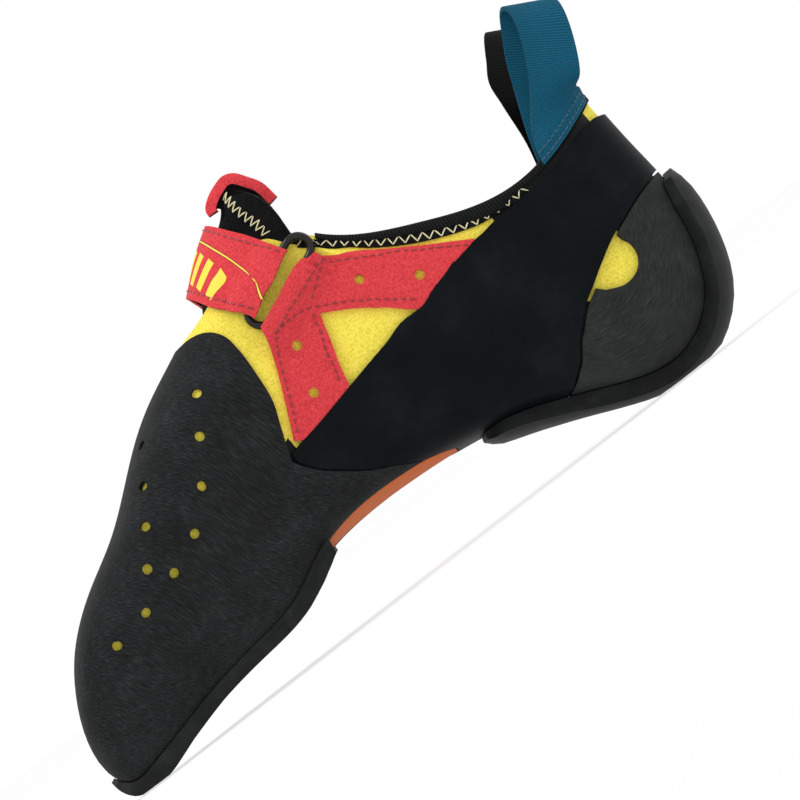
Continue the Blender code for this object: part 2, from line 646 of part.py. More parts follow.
def make_binding(elastic):
    """Elastic folded over the collar, from throat to throat round the heel."""
    half = [v for v in GRID_AROUND if v < BINDING_ENDS - 0.02] + [BINDING_ENDS]
    outer, inner = GAP, -WALL - GAP
    rings = []
    for v in [-v for v in half[:0:-1]] + half:
        full = ease((abs(v) - 0.40) / 0.06)
        start = 1 - (0.30 + 0.70 * full) * BINDING_WIDTH / END
        base = last(1.0, v)
        rise = base - last(1.0 - 7e-3, v)
        rise /= np.linalg.norm(rise)
        normal = outward(np.array(1.0), np.array(v))

        def point(height, lift=None):
            if lift is None:
                return off_last(np.array(start), np.array(v), height)
            return base + rise * lift + normal * height
        rings.append([point(outer), point(outer + ELASTIC), point(outer + ELASTIC, 0.0),
                      point(outer + 0.4 * ELASTIC, GAP + ELASTIC),
                      point(inner - 0.4 * ELASTIC, GAP + ELASTIC), point(inner - ELASTIC, 0.0),
                      point(inner - ELASTIC), point(inner), point(inner, GAP), point(outer, GAP)])
    loft("collar_binding", rings, elastic)


def throat_edge_at(along):
    edge = np.array(THROAT_EDGE)[::-1]
    return np.interp(along, edge[:, 0], edge[:, 1])


def tongue_face(along, around):
    """The tongue's outer height: under the upper's edge, and up between."""
    side = 1 - np.abs(np.asarray(around) - 1)
    clear = ease((side - throat_edge_at(along) - 0.06) / 0.08) * ease((np.asarray(along) - 0.47) / 0.05)
    return (-WALL - TUCKED) * (1 - clear)


def make_tongue(knit):
    """A stretch sock. Its upper band of elastic is a step in the wall."""
    side = [(0.41, 1.0), (0.42, 0.88), (0.47, 0.79), (0.56, 0.72), (0.66, 0.700), (0.76, 0.690),
            (0.845, 0.690), (0.862, 0.72), (0.866, 0.76), (0.862, 0.80), (0.86, 0.84), (0.80, 0.88),
            (0.745, 0.94), (0.73, 1.0)]

    def under(along, around):
        return off_last(along, around, tongue_face(along, around) - KNIT)

    def over(along, around):
        side = 1 - np.abs(around - 1)
        band = ease((along - 0.68) / 0.02) * ease((side - throat_edge_at(along) - 0.02) / 0.03)
        return off_last(along, around, tongue_face(along, around) + ELASTIC * band)
    panel("tongue", [side, over_ridge(side)], under, over, knit)


# The tab's outer line, from inside the collar over the tongue's top and down
# in front of it: x in shares of LENGTH from the heel's rest, z in shares of
# INSTEP_HEIGHT.
TAB_LINE = ((-0.270, 0.900), (-0.274, 0.945), (-0.284, 0.977), (-0.294, 1.002), (-0.307, 1.013),
            (-0.320, 1.009), (-0.3345, 0.998), (-0.346, 0.983), (-0.3505, 0.970), (-0.3510, 0.958))


def sweep_strip(name, rows, thick, material):
    """A flat strip through rows of points across it."""
    grid = np.array(rows)
    along, across = np.gradient(grid, axis=0), np.gradient(grid, axis=1)
    normal = np.cross(along, across)
    normal /= np.linalg.norm(normal, axis=-1, keepdims=True)
    low, high = grid - 0.5 * thick * normal, grid + 0.5 * thick * normal
    rings = [list(a) + list(b[::-1]) for a, b in zip(low, high)]
    return loft(name, rings, material)


def make_tab(suede):
    line = [np.array([x * LENGTH, last(1.0, 1.0)[1], z * INSTEP_HEIGHT]) for x, z in TAB_LINE]
    middle = []
    for i, point in enumerate(line):
        run = line[min(i + 1, len(line) - 1)] - line[max(i - 1, 0)]
        run /= np.linalg.norm(run)
        middle.append(point + 0.5 * TAB * np.array([-run[2], 0, run[0]]))
    half = np.array([0, 0.5 * TAB_WIDTH, 0])
    rows = [[point + share * half for share in (-1, 0, 1)] for point in middle]
    sweep_strip("tongue_tab", rows, TAB, suede)


# The pull loops, up the outer leg and down the inner one, for the middle of
# the webbing: x in shares of LENGTH from the heel's rest, z in shares of
# HEEL_HEIGHT, out in shares of LOOP_SPREAD from the collar's edge, and the
# lean of the webbing's width in radians.
LOOP_LINE = (
    # x      z      out    lean
    (0.0445, 0.905, 0.16, 0.17), (0.050, 0.960, 0.20, 0.02), (0.0640, 1.020, 0.34, -0.14),
    (0.0840, 1.107, 0.50, -0.40), (0.1020, 1.204, 0.55, -0.60), (0.1130, 1.290, 0.46, -0.56),
    (0.1160, 1.345, 0.22, -0.50), (0.1120, 1.366, -0.06, -0.48), (0.1040, 1.345, -0.36, -0.50),
    (0.0900, 1.275, -0.56, -0.56), (0.0760, 1.200, -0.62, -0.60), (0.0640, 1.110, -0.58, -0.46),
    (0.0530, 1.020, -0.46, -0.20), (0.0460, 0.950, -0.34, 0.02), (0.0420, 0.870, -0.30, 0.17),
)
LOOP_TURNS = (0.33, 0.26, 0.21, 0.16, 0.11)    # where the webbing meets the collar, around
LOOP_HELD = 2                        # rows over which it turns away from the collar


def make_loops(blue, black):
    for name, side, material, droop, shift in (("pull_loop_medial", 1, blue, 1.0, 0.0),
                                               ("pull_loop_lateral", -1, black, 0.93, -0.030)):
        rear = last(1.0, side * LOOP_TURNS[2])
        rows = []
        for i, (x, z, away, lean) in enumerate(LOOP_LINE):
            free = ease((min(i, len(LOOP_LINE) - 1 - i) - 1) / LOOP_HELD)
            risen = max(0.0, z - 0.95)
            middle = np.array([(x + shift * min(1.0, 4 * risen)) * LENGTH,
                               rear[1] - side * away * LOOP_SPREAD,
                               (min(z, 0.95) + droop * risen) * HEEL_HEIGHT])
            half = 0.5 * WEBBING_WIDTH * np.array([math.cos(lean), 0, math.sin(lean)])
            row = []
            for share, turn in zip((-1, -0.5, 0, 0.5, 1), LOOP_TURNS):
                out = outward(np.array(1.0), np.array(side * turn))
                reach = COLLAR_OUT if away > 0 else COLLAR_IN
                seated = last(1.0, side * turn) + out * reach
                seated = seated + np.array([0.2, 0, 1]) * (z - 0.915) * HEEL_HEIGHT
                row.append(free * (middle + share * half) + (1 - free) * seated)
            rows.append(row)
        sweep_strip(name, rows, WEBBING, material)


def main():
    start_clean()
    suede = colour("yellow_microsuede", 0.80, 0.70, 0.04, 0.9)
    red = colour("red_microsuede", 0.60, 0.05, 0.06, 0.9)
    smooth_rubber = colour("smooth_rubber", 0.012, 0.015, 0.020, 0.55)
    buffed_rubber = colour("buffed_rubber", 0.022, 0.022, 0.022, 0.75)
    sole_rubber = colour("sole_rubber", 0.018, 0.018, 0.018, 0.65)
    board = colour("orange_board", 0.65, 0.20, 0.05, 0.7)
    lining = colour("grey_lining", 0.18, 0.18, 0.18, 0.9)
    elastic = colour("black_elastic", 0.015, 0.015, 0.015, 0.8)
    knit = colour("black_knit", 0.012, 0.012, 0.014, 0.9)
    nylon = colour("black_nylon", 0.01, 0.01, 0.01, 0.25)
    blue = colour("blue_webbing", 0.01, 0.16, 0.25, 0.7)
    make_upper(suede)
    make_toe_patch(buffed_rubber)
    make_slingshot(smooth_rubber)
    make_heel_cup(buffed_rubber)
    make_midsole(board)
    make_insole(lining)
    make_outsole_front(sole_rubber)
    make_outsole_heel(sole_rubber)
    make_yokes(red)
    make_ring(nylon)
    make_strap(red)
    make_binding(elastic)
    make_tongue(knit)
    make_tab(red)
    make_loops(blue, elastic)


main()
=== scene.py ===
# A climbing shoe for the right foot: the looks of each piece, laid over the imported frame.
# Metres, +Z up, toe towards -X, inner side towards -Y, heel standing on the origin.
import math

import bmesh
import bpy
import numpy as np
from mathutils import Matrix, Vector


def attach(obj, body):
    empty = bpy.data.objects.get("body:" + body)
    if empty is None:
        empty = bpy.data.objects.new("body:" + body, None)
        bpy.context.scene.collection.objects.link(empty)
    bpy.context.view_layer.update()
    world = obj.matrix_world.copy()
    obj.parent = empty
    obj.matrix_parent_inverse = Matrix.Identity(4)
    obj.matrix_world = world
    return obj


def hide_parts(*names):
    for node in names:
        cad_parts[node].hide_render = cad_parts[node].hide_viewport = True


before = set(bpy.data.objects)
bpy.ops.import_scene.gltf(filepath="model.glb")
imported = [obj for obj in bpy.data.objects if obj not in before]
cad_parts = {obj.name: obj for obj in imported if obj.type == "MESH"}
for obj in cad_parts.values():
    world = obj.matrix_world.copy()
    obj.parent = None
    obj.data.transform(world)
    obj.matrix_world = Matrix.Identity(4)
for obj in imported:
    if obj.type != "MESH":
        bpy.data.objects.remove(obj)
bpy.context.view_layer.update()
bpy.ops.object.select_all(action="DESELECT")
print("frame loaded")

mm = 0.001

# The last.
shoeLength = 236 * mm      # over the rubber, heel to toe
ballWidth = 80 * mm        # across the joints of the toes
heelWidth = 54 * mm
instepHeight = 125 * mm    # floor to the top of the throat
heelHeight = 82 * mm       # floor to the collar behind the heel

# What the pieces are cut from.
wallThick = 1.6 * mm       # microsuede upper with its lining
gap = 0.3 * mm             # clearance between neighbours
seamGap = 0.5 * mm         # clearance between panels side by side
randThick = 1.6 * mm       # rubber of the rand, heel cup and toe patch
randBead = 1.0 * mm        # how much the rand thickens at the lower edge
soleThick = 3.6 * mm       # rubber of the forefoot
heelSole = 6.0 * mm        # rubber under and behind the heel
soleEdge = 1.1 * mm        # how far the forefoot's sole stands past the rand
floorFlat = 1.2 * mm       # how much the floor flattens each sole
yokeThick = 1.3 * mm       # microsuede of the yokes
insoleThick = 1.2 * mm
insoleWidth = 34 * mm
knitThick = 1.0 * mm       # tongue
elasticThick = 0.8 * mm    # binding and tongue band
bindingWidth = 4.6 * mm
bindingEnds = 0.69         # around, beside the throat
strapThick = 1.6 * mm
strapLift = 1.6 * mm       # how far the strap bridges the instep
ringWire = 2.4 * mm
ringLength = 31 * mm
ringWidth = 10 * mm
foldClear = 2 * gap        # over the ring, under what is folded round it
foldSlope = 6 * mm         # over which what is folded comes down again
tabThick = 1.6 * mm
tabWidth = 17 * mm
webbingThick = 1.4 * mm
webbingWidth = 15 * mm
loopSpread = 11 * mm       # how far the legs of a pull loop stand apart

toeSole = 1.55 * soleThick
cladThick = gap + randThick + gap  # from the upper to the inside of a sole
foreStack = cladThick + toeSole - floorFlat
heelStack = cladThick + heelSole - floorFlat
foreRise = instepHeight - foreStack
heelRise = heelHeight - heelStack
patternGirth = 100 * mm    # half a girth on the flat pattern
tucked = 4 * gap           # from the upper's inside down to the loose tongue
collarOut = gap + elasticThick + gap + 0.5 * webbingThick
collarIn = -(wallThick + gap + elasticThick + gap + 0.5 * webbingThick)


# Sections of the last, from the toe's tip to the collar. keel is the lowest
# point and ridge the highest: x in shares of shoeLength from the heel's rest, z
# in shares of the rise, y in shares of the width. sag bends the section between
# them, medial and lateral are the half widths, wide is how far up the widest
# place is, and under, inner and outer say how square the corners are.
foreSections = (
    # keel_x  keel_z  ridge_x ridge_z sag   keel_y ridge_y medial lateral wide  under inner outer tilt
    (-0.852, 0.055, -0.852, 0.055, 0.000, -0.19, -0.190, 0.000, 0.000, 0.50, 2.0, 0.5, 0.3, 0.00),
    (-0.841, 0.004, -0.844, 0.148, 0.000, -0.17, -0.190, 0.145, 0.150, 0.45, 3.0, 0.6, 0.3, 0.00),
    (-0.816, 0.001, -0.815, 0.258, 0.000, -0.15, -0.205, 0.220, 0.255, 0.40, 5.0, 1.0, 0.4, 0.00),
    (-0.777, 0.018, -0.779, 0.338, 0.000, -0.12, -0.215, 0.290, 0.360, 0.36, 6.0, 1.3, 0.3, 0.00),
    (-0.728, 0.042, -0.735, 0.402, 0.000, -0.085, -0.205, 0.330, 0.440, 0.33, 6.0, 1.2, 0.1, 0.00),
    (-0.674, 0.064, -0.679, 0.468, 0.000, -0.055, -0.180, 0.350, 0.500, 0.31, 6.0, 1.1, 0.0, 0.00),
    (-0.616, 0.079, -0.618, 0.564, 0.000, -0.030, -0.150, 0.370, 0.520, 0.30, 6.0, 1.0, 0.0, 0.00),
    (-0.555, 0.099, -0.557, 0.657, 0.000, -0.005, -0.120, 0.375, 0.515, 0.30, 5.5, 0.9, 0.1, 0.00),
    (-0.491, 0.149, -0.491, 0.728, 0.000, 0.020, -0.085, 0.355, 0.480, 0.31, 4.5, 0.8, 0.2, 0.04),
    (-0.418, 0.172, -0.433, 0.794, 0.000, 0.035, -0.050, 0.330, 0.430, 0.33, 3.2, 0.7, 0.3, 0.08),
    (-0.339, 0.165, -0.387, 0.872, 0.000, 0.035, -0.025, 0.320, 0.385, 0.34, 2.2, 0.6, 0.4, 0.08),
)
heelSections = (
    (-0.254, 0.221, -0.346, 0.928, 0.005, 0.037, -0.015, 0.474, 0.526, 0.34, 1.8, 0.5, 0.4, 0.05),
    (-0.165, 0.155, -0.332, 0.960, 0.015, 0.018, 0.000, 0.481, 0.511, 0.33, 1.6, 0.5, 0.5, 0.02),
    (-0.074, 0.050, -0.326, 0.977, 0.028, 0.006, 0.000, 0.489, 0.504, 0.33, 1.5, 0.5, 0.5, 0.00),
    (0.009, -0.008, -0.323, 0.987, 0.042, 0.000, 0.000, 0.493, 0.499, 0.35, 1.3, 0.5, 0.5, 0.00),
    (0.072, 0.100, -0.322, 0.994, 0.058, 0.000, 0.000, 0.493, 0.496, 0.36, 1.1, 0.5, 0.5, 0.00),
    (0.101, 0.283, -0.321, 0.997, 0.072, 0.000, 0.000, 0.489, 0.492, 0.36, 1.0, 0.5, 0.5, 0.00),
    (0.110, 0.496, -0.321, 0.999, 0.085, 0.000, 0.000, 0.471, 0.474, 0.36, 0.9, 0.5, 0.5, 0.00),
    (0.104, 0.729, -0.321, 0.999, 0.096, 0.000, 0.000, 0.444, 0.449, 0.36, 0.8, 0.5, 0.5, 0.00),
    (0.098, 0.996, -0.321, 0.999, 0.105, 0.000, 0.000, 0.422, 0.430, 0.38, 0.7, 0.5, 0.5, 0.00),
)
# The columns of a section that are sizes, in their order.
keelXCol, keelZCol, ridgeXCol, ridgeZCol, sagCol, keelYCol, ridgeYCol, medialCol, lateralCol = range(9)


def placeSections():
    rows = []
    for table, width, base, rise in ((foreSections, ballWidth, foreStack, foreRise),
                                     (heelSections, heelWidth, heelStack, heelRise)):
        for row in table:
            placed = list(row)
            for column in (keelXCol, ridgeXCol, sagCol):
                placed[column] *= shoeLength
            for column in (keelYCol, ridgeYCol, medialCol, lateralCol):
                placed[column] *= width
            placed[keelZCol] = base + row[keelZCol] * rise
            placed[ridgeZCol] = foreStack + row[ridgeZCol] * foreRise
            rows.append(placed)
    return np.array(rows)


def turnOver(rows):
    turned = rows[::-1].copy()
    for low, high in ((keelXCol, ridgeXCol), (keelZCol, ridgeZCol), (keelYCol, ridgeYCol)):
        turned[:, low], turned[:, high] = rows[::-1][:, high], rows[::-1][:, low]
    turned[:, medialCol], turned[:, lateralCol] = -rows[::-1][:, lateralCol], -rows[::-1][:, medialCol]
    turned[:, lateralCol + 1] = 1 - rows[::-1][:, lateralCol + 1]
    return turned


def splineBend(knots, values):
    count = len(knots)
    step = np.diff(knots)
    matrix = np.zeros((count, count))
    right = np.zeros_like(values)
    matrix[0, 0] = matrix[-1, -1] = 1
    for i in range(1, count - 1):
        matrix[i, i - 1:i + 2] = step[i - 1], 2 * (step[i - 1] + step[i]), step[i]
        rise = (values[i + 1] - values[i]) / step[i] - (values[i] - values[i - 1]) / step[i - 1]
        right[i] = 6 * rise
    return np.linalg.solve(matrix, right)


lastRows = placeSections()
keelShare, ridgeShare = 0.7, 0.5
rowSteps = (keelShare * np.hypot(np.diff(lastRows[:, keelXCol]), np.diff(lastRows[:, keelZCol]))
         + ridgeShare * np.hypot(np.diff(lastRows[:, ridgeXCol]), np.diff(lastRows[:, ridgeZCol])))
stations = np.concatenate([[0], np.cumsum(rowSteps)])
patternLength = stations[-1]
turnedRows = 5
knots = np.concatenate([-stations[1:turnedRows][::-1], stations])
knotRows = np.concatenate([turnOver(lastRows[1:turnedRows]), lastRows])
knotBend = splineBend(knots, knotRows)


def sectionAt(place):
    i = np.clip(np.searchsorted(knots, place) - 1, 0, len(knots) - 2)
    step = (knots[i + 1] - knots[i])[..., None]
    a = (knots[i + 1] - place)[..., None] / step
    b = (place - knots[i])[..., None] / step
    curve = ((a ** 3 - a) * knotBend[i] + (b ** 3 - b) * knotBend[i + 1]) * step * step / 6
    return a * knotRows[i] + b * knotRows[i + 1] + curve


def unit(ways):
    return ways / np.linalg.norm(ways, axis=-1, keepdims=True)


def squared(u, corner):
    return u * np.sqrt((1 + corner) / (1 + corner * u * u))


def ease(x):
    x = np.clip(x, 0.0, 1.0)
    return x * x * (3 - 2 * x)


throatFrom, throatSpan = 0.80, 0.16


def smoothLast(along, around):
    along, around = np.broadcast_arrays(np.asarray(along, float), np.asarray(around, float))
    (keelX, keelZ, ridgeX, ridgeZ, sag, keelY, ridgeY, medial, lateral,
     wide, under, inner, outer, tilt) = np.moveaxis(sectionAt(along * patternLength), -1, 0)
    cosine, sine = np.cos(np.pi * around), np.sin(np.pi * around)
    isMedial = sine >= 0
    corner = under + (np.where(isMedial, inner, outer) - under) * ease(0.5 - 0.5 * cosine)
    height, reach = squared(cosine, corner), squared(sine, corner)
    low, high = np.maximum(height, 0), np.maximum(-height, 0)
    share = wide * (1 - low) + (1 - wide) * high
    x = keelX + share * (ridgeX - keelX)
    z = keelZ + share * (ridgeZ - keelZ)
    y = keelY + share * (ridgeY - keelY) - np.where(isMedial, medial, lateral) * reach
    run, rise = ridgeX - keelX, ridgeZ - keelZ
    span = np.hypot(run, rise) + 1e-9
    dip = sag * (1 - np.abs(2 * share - 1) ** 3) * (1 - ease((share - throatFrom) / throatSpan))
    x = x - dip * rise / span
    z = z + dip * run / span - tilt * (y - keelY) * low
    return np.stack([x, y, z], -1)


# Soft creases: a trough from one place on the pattern to another, with a low lip beside it.
creaseLip = {"share": 0.45, "away": 1.7}
creases = (
    # along, around, along, around, width mm, depth mm
    (0.505, 0.700, 0.560, 0.770, 2.6, 0.40),
    (0.520, 0.640, 0.590, 0.700, 2.4, 0.30),
    (0.470, 0.600, 0.540, 0.660, 3.0, 0.25),
    (0.610, 0.560, 0.690, 0.610, 3.4, 0.30),
    (0.360, 0.620, 0.430, 0.800, 6.0, 0.35),
    (0.280, 0.640, 0.350, 0.860, 7.0, 0.30),
    (0.780, 0.640, 0.900, 0.560, 4.0, 0.30),
    (0.505, 1.300, 0.560, 1.230, 2.6, 0.40),
    (0.520, 1.360, 0.590, 1.300, 2.4, 0.30),
    (0.610, 1.440, 0.690, 1.390, 3.4, 0.30),
    (0.360, 1.380, 0.430, 1.200, 6.0, 0.35),
)


def creaseDepth(along, around):
    turned = np.asarray(around) % 2
    depth = np.zeros(np.shape(along))
    for a, v, b, w, width, deep in creases:
        way = np.array([(b - a) * patternLength, (w - v) * patternGirth])
        reach = np.stack([(along - a) * patternLength, (turned - v) * patternGirth], -1)
        share = np.clip(reach @ way / (way @ way), 0, 1)
        off = np.linalg.norm(reach - share[..., None] * way, axis=-1) / (width * mm)
        depth += deep * mm * np.exp(-off ** 2)
        depth -= creaseLip["share"] * deep * mm * np.exp(-(off - creaseLip["away"]) ** 2)
    return depth


def last(along, around):
    along, around = np.broadcast_arrays(np.asarray(along, float), np.asarray(around, float))
    step = 1e-3
    held = np.maximum(along, 4 * step)
    run = smoothLast(held + step, around) - smoothLast(held - step, around)
    girth = smoothLast(held, around + step) - smoothLast(held, around - step)
    return smoothLast(along, around) - creaseDepth(along, around)[..., None] * unit(np.cross(run, girth))


def outward(along, around):
    step = 7e-4
    along = np.maximum(along, 4 * step)
    run = last(along + step, around) - last(along - step, around)
    girth = last(along, around + step) - last(along, around - step)
    return unit(np.cross(run, girth))


def offLast(along, around, height):
    return last(along, around) + np.asarray(height)[..., None] * outward(along, around)


def raised(height):
    return lambda along, around: offLast(along, around, np.full(np.shape(along), height))


weldReach = 0.02 * mm


def weld(points, faces):
    placed = last(np.array([a for a, v in points]), np.array([v for a, v in points]))
    known, renumber, kept = {}, [], []
    for point, place in zip(points, placed):
        key = tuple(int(round(c / weldReach)) for c in place)
        if key not in known:
            known[key] = len(kept)
            kept.append(point)
        renumber.append(known[key])
    joined = []
    for face in faces:
        ring = [renumber[i] for i in face]
        ring = [n for i, n in enumerate(ring) if n != ring[i - 1]]
        if len(ring) > 2:
            joined.append(ring)
    return kept, joined


def mirrored(corners):
    return [(a, -v) for a, v in reversed(corners)]


def overRidge(corners):
    return [(a, 2 - v) for a, v in reversed(corners)]


# Outlines on the pattern, as (along, around), all for the medial side. under is the opening
# below the arch and margin the edge of the board that closes it.
throatEdge = [(1.0, 0.700), (0.80, 0.716), (0.70, 0.745), (0.60, 0.780), (0.53, 0.820),
               (0.48, 0.880), (0.455, 0.940), (0.450, 1.0)]
patchTop = [(0.430, 1.0), (0.437, 0.930), (0.461, 0.852), (0.481, 0.790), (0.494, 0.738),
             (0.499, 0.688), (0.499, 0.636), (0.495, 0.592), (0.489, 0.562), (0.476, 0.535),
             (0.461, 0.505)]
randLow = [(0.461, 0.505), (0.478, 0.446), (0.501, 0.384), (0.524, 0.314), (0.549, 0.250),
            (0.572, 0.165)]
heelTop = [(0.989, 0.370), (0.990, 0.25), (0.988, 0.16), (0.983, 0.08), (0.980, 0.0)]
underFront, underRear, underEdge = 0.14, 0.69, 0.11
marginEdge, marginToe, marginRear = 0.16, 0.10, 0.605

# The forefoot's sole: along, half width on the pattern, thickness as a share.
soleRows = ((0.016, 0.00, 0.42), (0.022, 0.12, 0.55), (0.040, 0.20, 1.10), (0.065, 0.235, 1.50),
             (0.10, 0.250, 1.42), (0.14, 0.258, 1.15), (0.20, 0.262, 1.00), (0.36, 0.262, 1.00),
             (0.395, 0.262, 0.92), (0.415, 0.258, 0.75), (0.432, 0.250, 0.50))
# The heel's sole, the same way.
heelRows = ((0.628, 0.00, 0.50), (0.634, 0.12, 0.58), (0.655, 0.175, 0.74), (0.69, 0.180, 0.90),
             (0.735, 0.160, 1.00), (0.80, 0.150, 1.00), (0.835, 0.148, 0.93), (0.87, 0.145, 0.84),
             (0.905, 0.135, 0.78), (0.920, 0.10, 0.62), (0.924, 0.0, 0.50))


def beside(points, distance):
    flat = np.array(points) * (patternLength, patternGirth)
    way = unit(np.gradient(flat, axis=0))
    moved = flat + distance * np.stack([-way[:, 1], way[:, 0]], 1)
    return [(a / patternLength, v / patternGirth) for a, v in moved]


# Where the rand thickens: (from, over) along, and (middle, spread) around.
beadShape = {"fades": (0.38, 0.12), "starts": (0.02, 0.05), "around": (0.235, 0.06)}


def easeOver(place, stretch):
    return ease((np.asarray(place) - stretch[0]) / stretch[1])


def bead(along, around):
    side = np.abs((np.asarray(around) + 1) % 2 - 1)
    middle, spread = beadShape["around"]
    full = (1 - easeOver(along, beadShape["fades"])) * easeOver(along, beadShape["starts"])
    return gap + randThick + randBead * full * np.exp(-((side - middle) / spread) ** 2)


def randFace(along, around):
    return offLast(along, around, bead(along, around))


def soleSeat(along, around):
    return offLast(along, around, bead(along, around) + gap)


# The patch thins to half its rubber towards its upper edge.
patchThins = {"along": (0.28, 0.16), "around": (0.40, 0.20), "by": 0.5}


def patchFace(along, around):
    side = 1 - np.abs(np.asarray(around) % 2 - 1)
    thin = easeOver(along, patchThins["along"]) * easeOver(side, patchThins["around"])
    return offLast(along, around, bead(along, around) - patchThins["by"] * randThick * thin)


def soleTable(rows):
    table = np.array(rows)
    return lambda along, column: np.interp(along, table[:, 0], table[:, column])


def keelFrame(along):
    step = 1e-3
    run = last(along + step, 0.0) - last(along - step, 0.0)
    run[..., 1] = 0
    run = unit(run)
    down = np.stack([run[..., 2], np.zeros(run.shape[:-1]), -run[..., 0]], -1)
    return last(along, 0.0), down


# The strap ring's two ends, as (along, around).
ringTop, ringFoot = (0.722, 0.690), (0.517, 0.651)


def ringLine(share):
    return (ringFoot[0] + share * (ringTop[0] - ringFoot[0]),
            ringFoot[1] + share * (ringTop[1] - ringFoot[1]))


def ringFrame(share):
    (a, v), (b, w) = ringLine(share - 0.01), ringLine(share + 0.01)
    middle = last(*ringLine(share))
    run = unit(last(b, w) - last(a, v))
    up = outward(np.array(ringLine(share)[0]), np.array(ringLine(share)[1]))
    return middle, run, unit(np.cross(up, run)), up


def barLift(along, around, side):
    places = last(along, around)
    middle, run, across, up = ringFrame(0.5)
    reach = (places - middle) @ across * side - 0.5 * ringWidth - gap
    length = np.abs((places - middle) @ run) - 0.5 * ringLength - gap
    return (ringWire + foldClear) * (1 - ease(reach / foldSlope)) * (1 - ease(length / foldSlope))


def tube(centres, radius, sides, upHint):
    rings = []
    angles = [2 * math.pi * k / sides for k in range(sides)]
    for i, centre in enumerate(centres):
        run = unit(centres[(i + 1) % len(centres)] - centres[i - 1])
        side = unit(np.cross(run, upHint))
        top = np.cross(side, run)
        rings.append([centre + radius * (math.cos(t) * side + math.sin(t) * top) for t in angles])
    return rings


# The strap bridges the ridge and rises over the outer yoke.
strapRest = {"ridge": 1.0, "bridge": 0.16, "yoke": (1.12, 0.1)}


def strapBase(along, around):
    bridge = np.exp(-((np.asarray(around) - strapRest["ridge"]) / strapRest["bridge"]) ** 2)
    resting = gap + yokeThick * easeOver(around, strapRest["yoke"])
    return resting + gap + strapLift * bridge + barLift(along, around, 1)


def throatEdgeAt(along):
    edge = np.array(throatEdge)[::-1]
    return np.interp(along, edge[:, 0], edge[:, 1])


# The tongue rises to the last's own face where it is clear of the throat's edge.
tongueRises = {"beside": (0.06, 0.08), "along": (0.47, 0.05)}


def tongueFace(along, around):
    side = 1 - np.abs(np.asarray(around) - 1)
    clear = easeOver(side - throatEdgeAt(along), tongueRises["beside"])
    clear = clear * easeOver(along, tongueRises["along"])
    return (-wallThick - tucked) * (1 - clear)


# The tab's outer line, from inside the collar over the tongue's top and down
# in front of it: x in shares of shoeLength from the heel's rest, z in shares
# of instepHeight.
tabLine = ((-0.270, 0.900), (-0.274, 0.945), (-0.284, 0.977), (-0.294, 1.002), (-0.307, 1.013),
            (-0.320, 1.009), (-0.3345, 0.998), (-0.346, 0.983), (-0.3505, 0.970), (-0.3510, 0.958))


# The pull loops, up the outer leg and down the inner one, for the middle of
# the webbing: x in shares of shoeLength from the heel's rest, z in shares of
# heelHeight, out in shares of loopSpread from the collar's edge, and the lean
# of the webbing's width in radians.
loopLine = (
    # x      z      out    lean
    (0.0445, 0.905, 0.16, 0.17), (0.050, 0.960, 0.20, 0.02), (0.0640, 1.020, 0.34, -0.14),
    (0.0840, 1.107, 0.50, -0.40), (0.1020, 1.204, 0.55, -0.60), (0.1130, 1.290, 0.46, -0.56),
    (0.1160, 1.345, 0.22, -0.50), (0.1120, 1.366, -0.06, -0.48), (0.1040, 1.345, -0.36, -0.50),
    (0.0900, 1.275, -0.56, -0.56), (0.0760, 1.200, -0.62, -0.60), (0.0640, 1.110, -0.58, -0.46),
    (0.0530, 1.020, -0.46, -0.20), (0.0460, 0.950, -0.34, 0.02), (0.0420, 0.870, -0.30, 0.17),
)
# Where the webbing meets the collar, around.
loopTurns = (0.33, 0.26, 0.21, 0.16, 0.11)
loopHeld = 2       # rows over which it turns away from the collar
loopFree = 0.95    # share of heelHeight above which a loop may droop or lean forward
loopSeat = {"rise": (0.2, 0, 1), "from": 0.915}


# The slingshot's edges, the heel's window and the yoke, nearer to the photograph than the
# solids are: (along, around). The yoke's arm runs along the collar and its leg to the toe patch.
slingFront = [(0.461, 0.505), (0.474, 0.506), (0.513, 0.503), (0.554, 0.504), (0.599, 0.509), (0.649, 0.521),
              (0.715, 0.547), (0.811, 0.569), (0.886, 0.554), (0.932, 0.528), (0.960, 0.503), (0.979, 0.455),
              (0.987, 0.400)]
slingRear = [(0.703, 0.0), (0.706, 0.13), (0.718, 0.225), (0.738, 0.305), (0.761, 0.360), (0.790, 0.403),
             (0.815, 0.417), (0.838, 0.418), (0.860, 0.404), (0.884, 0.377), (0.905, 0.335), (0.918, 0.280),
             (0.926, 0.203), (0.929, 0.086), (0.929, 0.0)]
cupWindow = [(0.857, 0.385), (0.860, 0.352), (0.870, 0.323), (0.882, 0.308), (0.894, 0.307), (0.902, 0.317)]
armTop = [(0.735, 0.682), (0.789, 0.683), (0.865, 0.664), (0.931, 0.628), (0.950, 0.590), (0.953, 0.563),
          (0.955, 0.537), (0.955, 0.512)]
armLow = [(0.739, 0.560), (0.718, 0.566), (0.689, 0.572), (0.651, 0.581), (0.622, 0.592)]
legRight = [(0.622, 0.592), (0.608, 0.570), (0.596, 0.549), (0.584, 0.527), (0.575, 0.508)]
legLeft = [(0.478, 0.512), (0.498, 0.544), (0.520, 0.582), (0.536, 0.615), (0.549, 0.642)]


def curved(points, steps=4):
    run = [np.array(p, float) for p in points]
    run = [2 * run[0] - run[1]] + run + [2 * run[-1] - run[-2]]
    out = []
    for a, b, c, d in zip(run, run[1:], run[2:], run[3:]):
        for k in range(steps):
            t = k / steps
            out.append(0.5 * (2 * b + (c - a) * t + (2 * a - 5 * b + 4 * c - d) * t * t
                              + (3 * b - a - 3 * c + d) * t ** 3))
    return [tuple(p) for p in out] + [tuple(run[-2])]


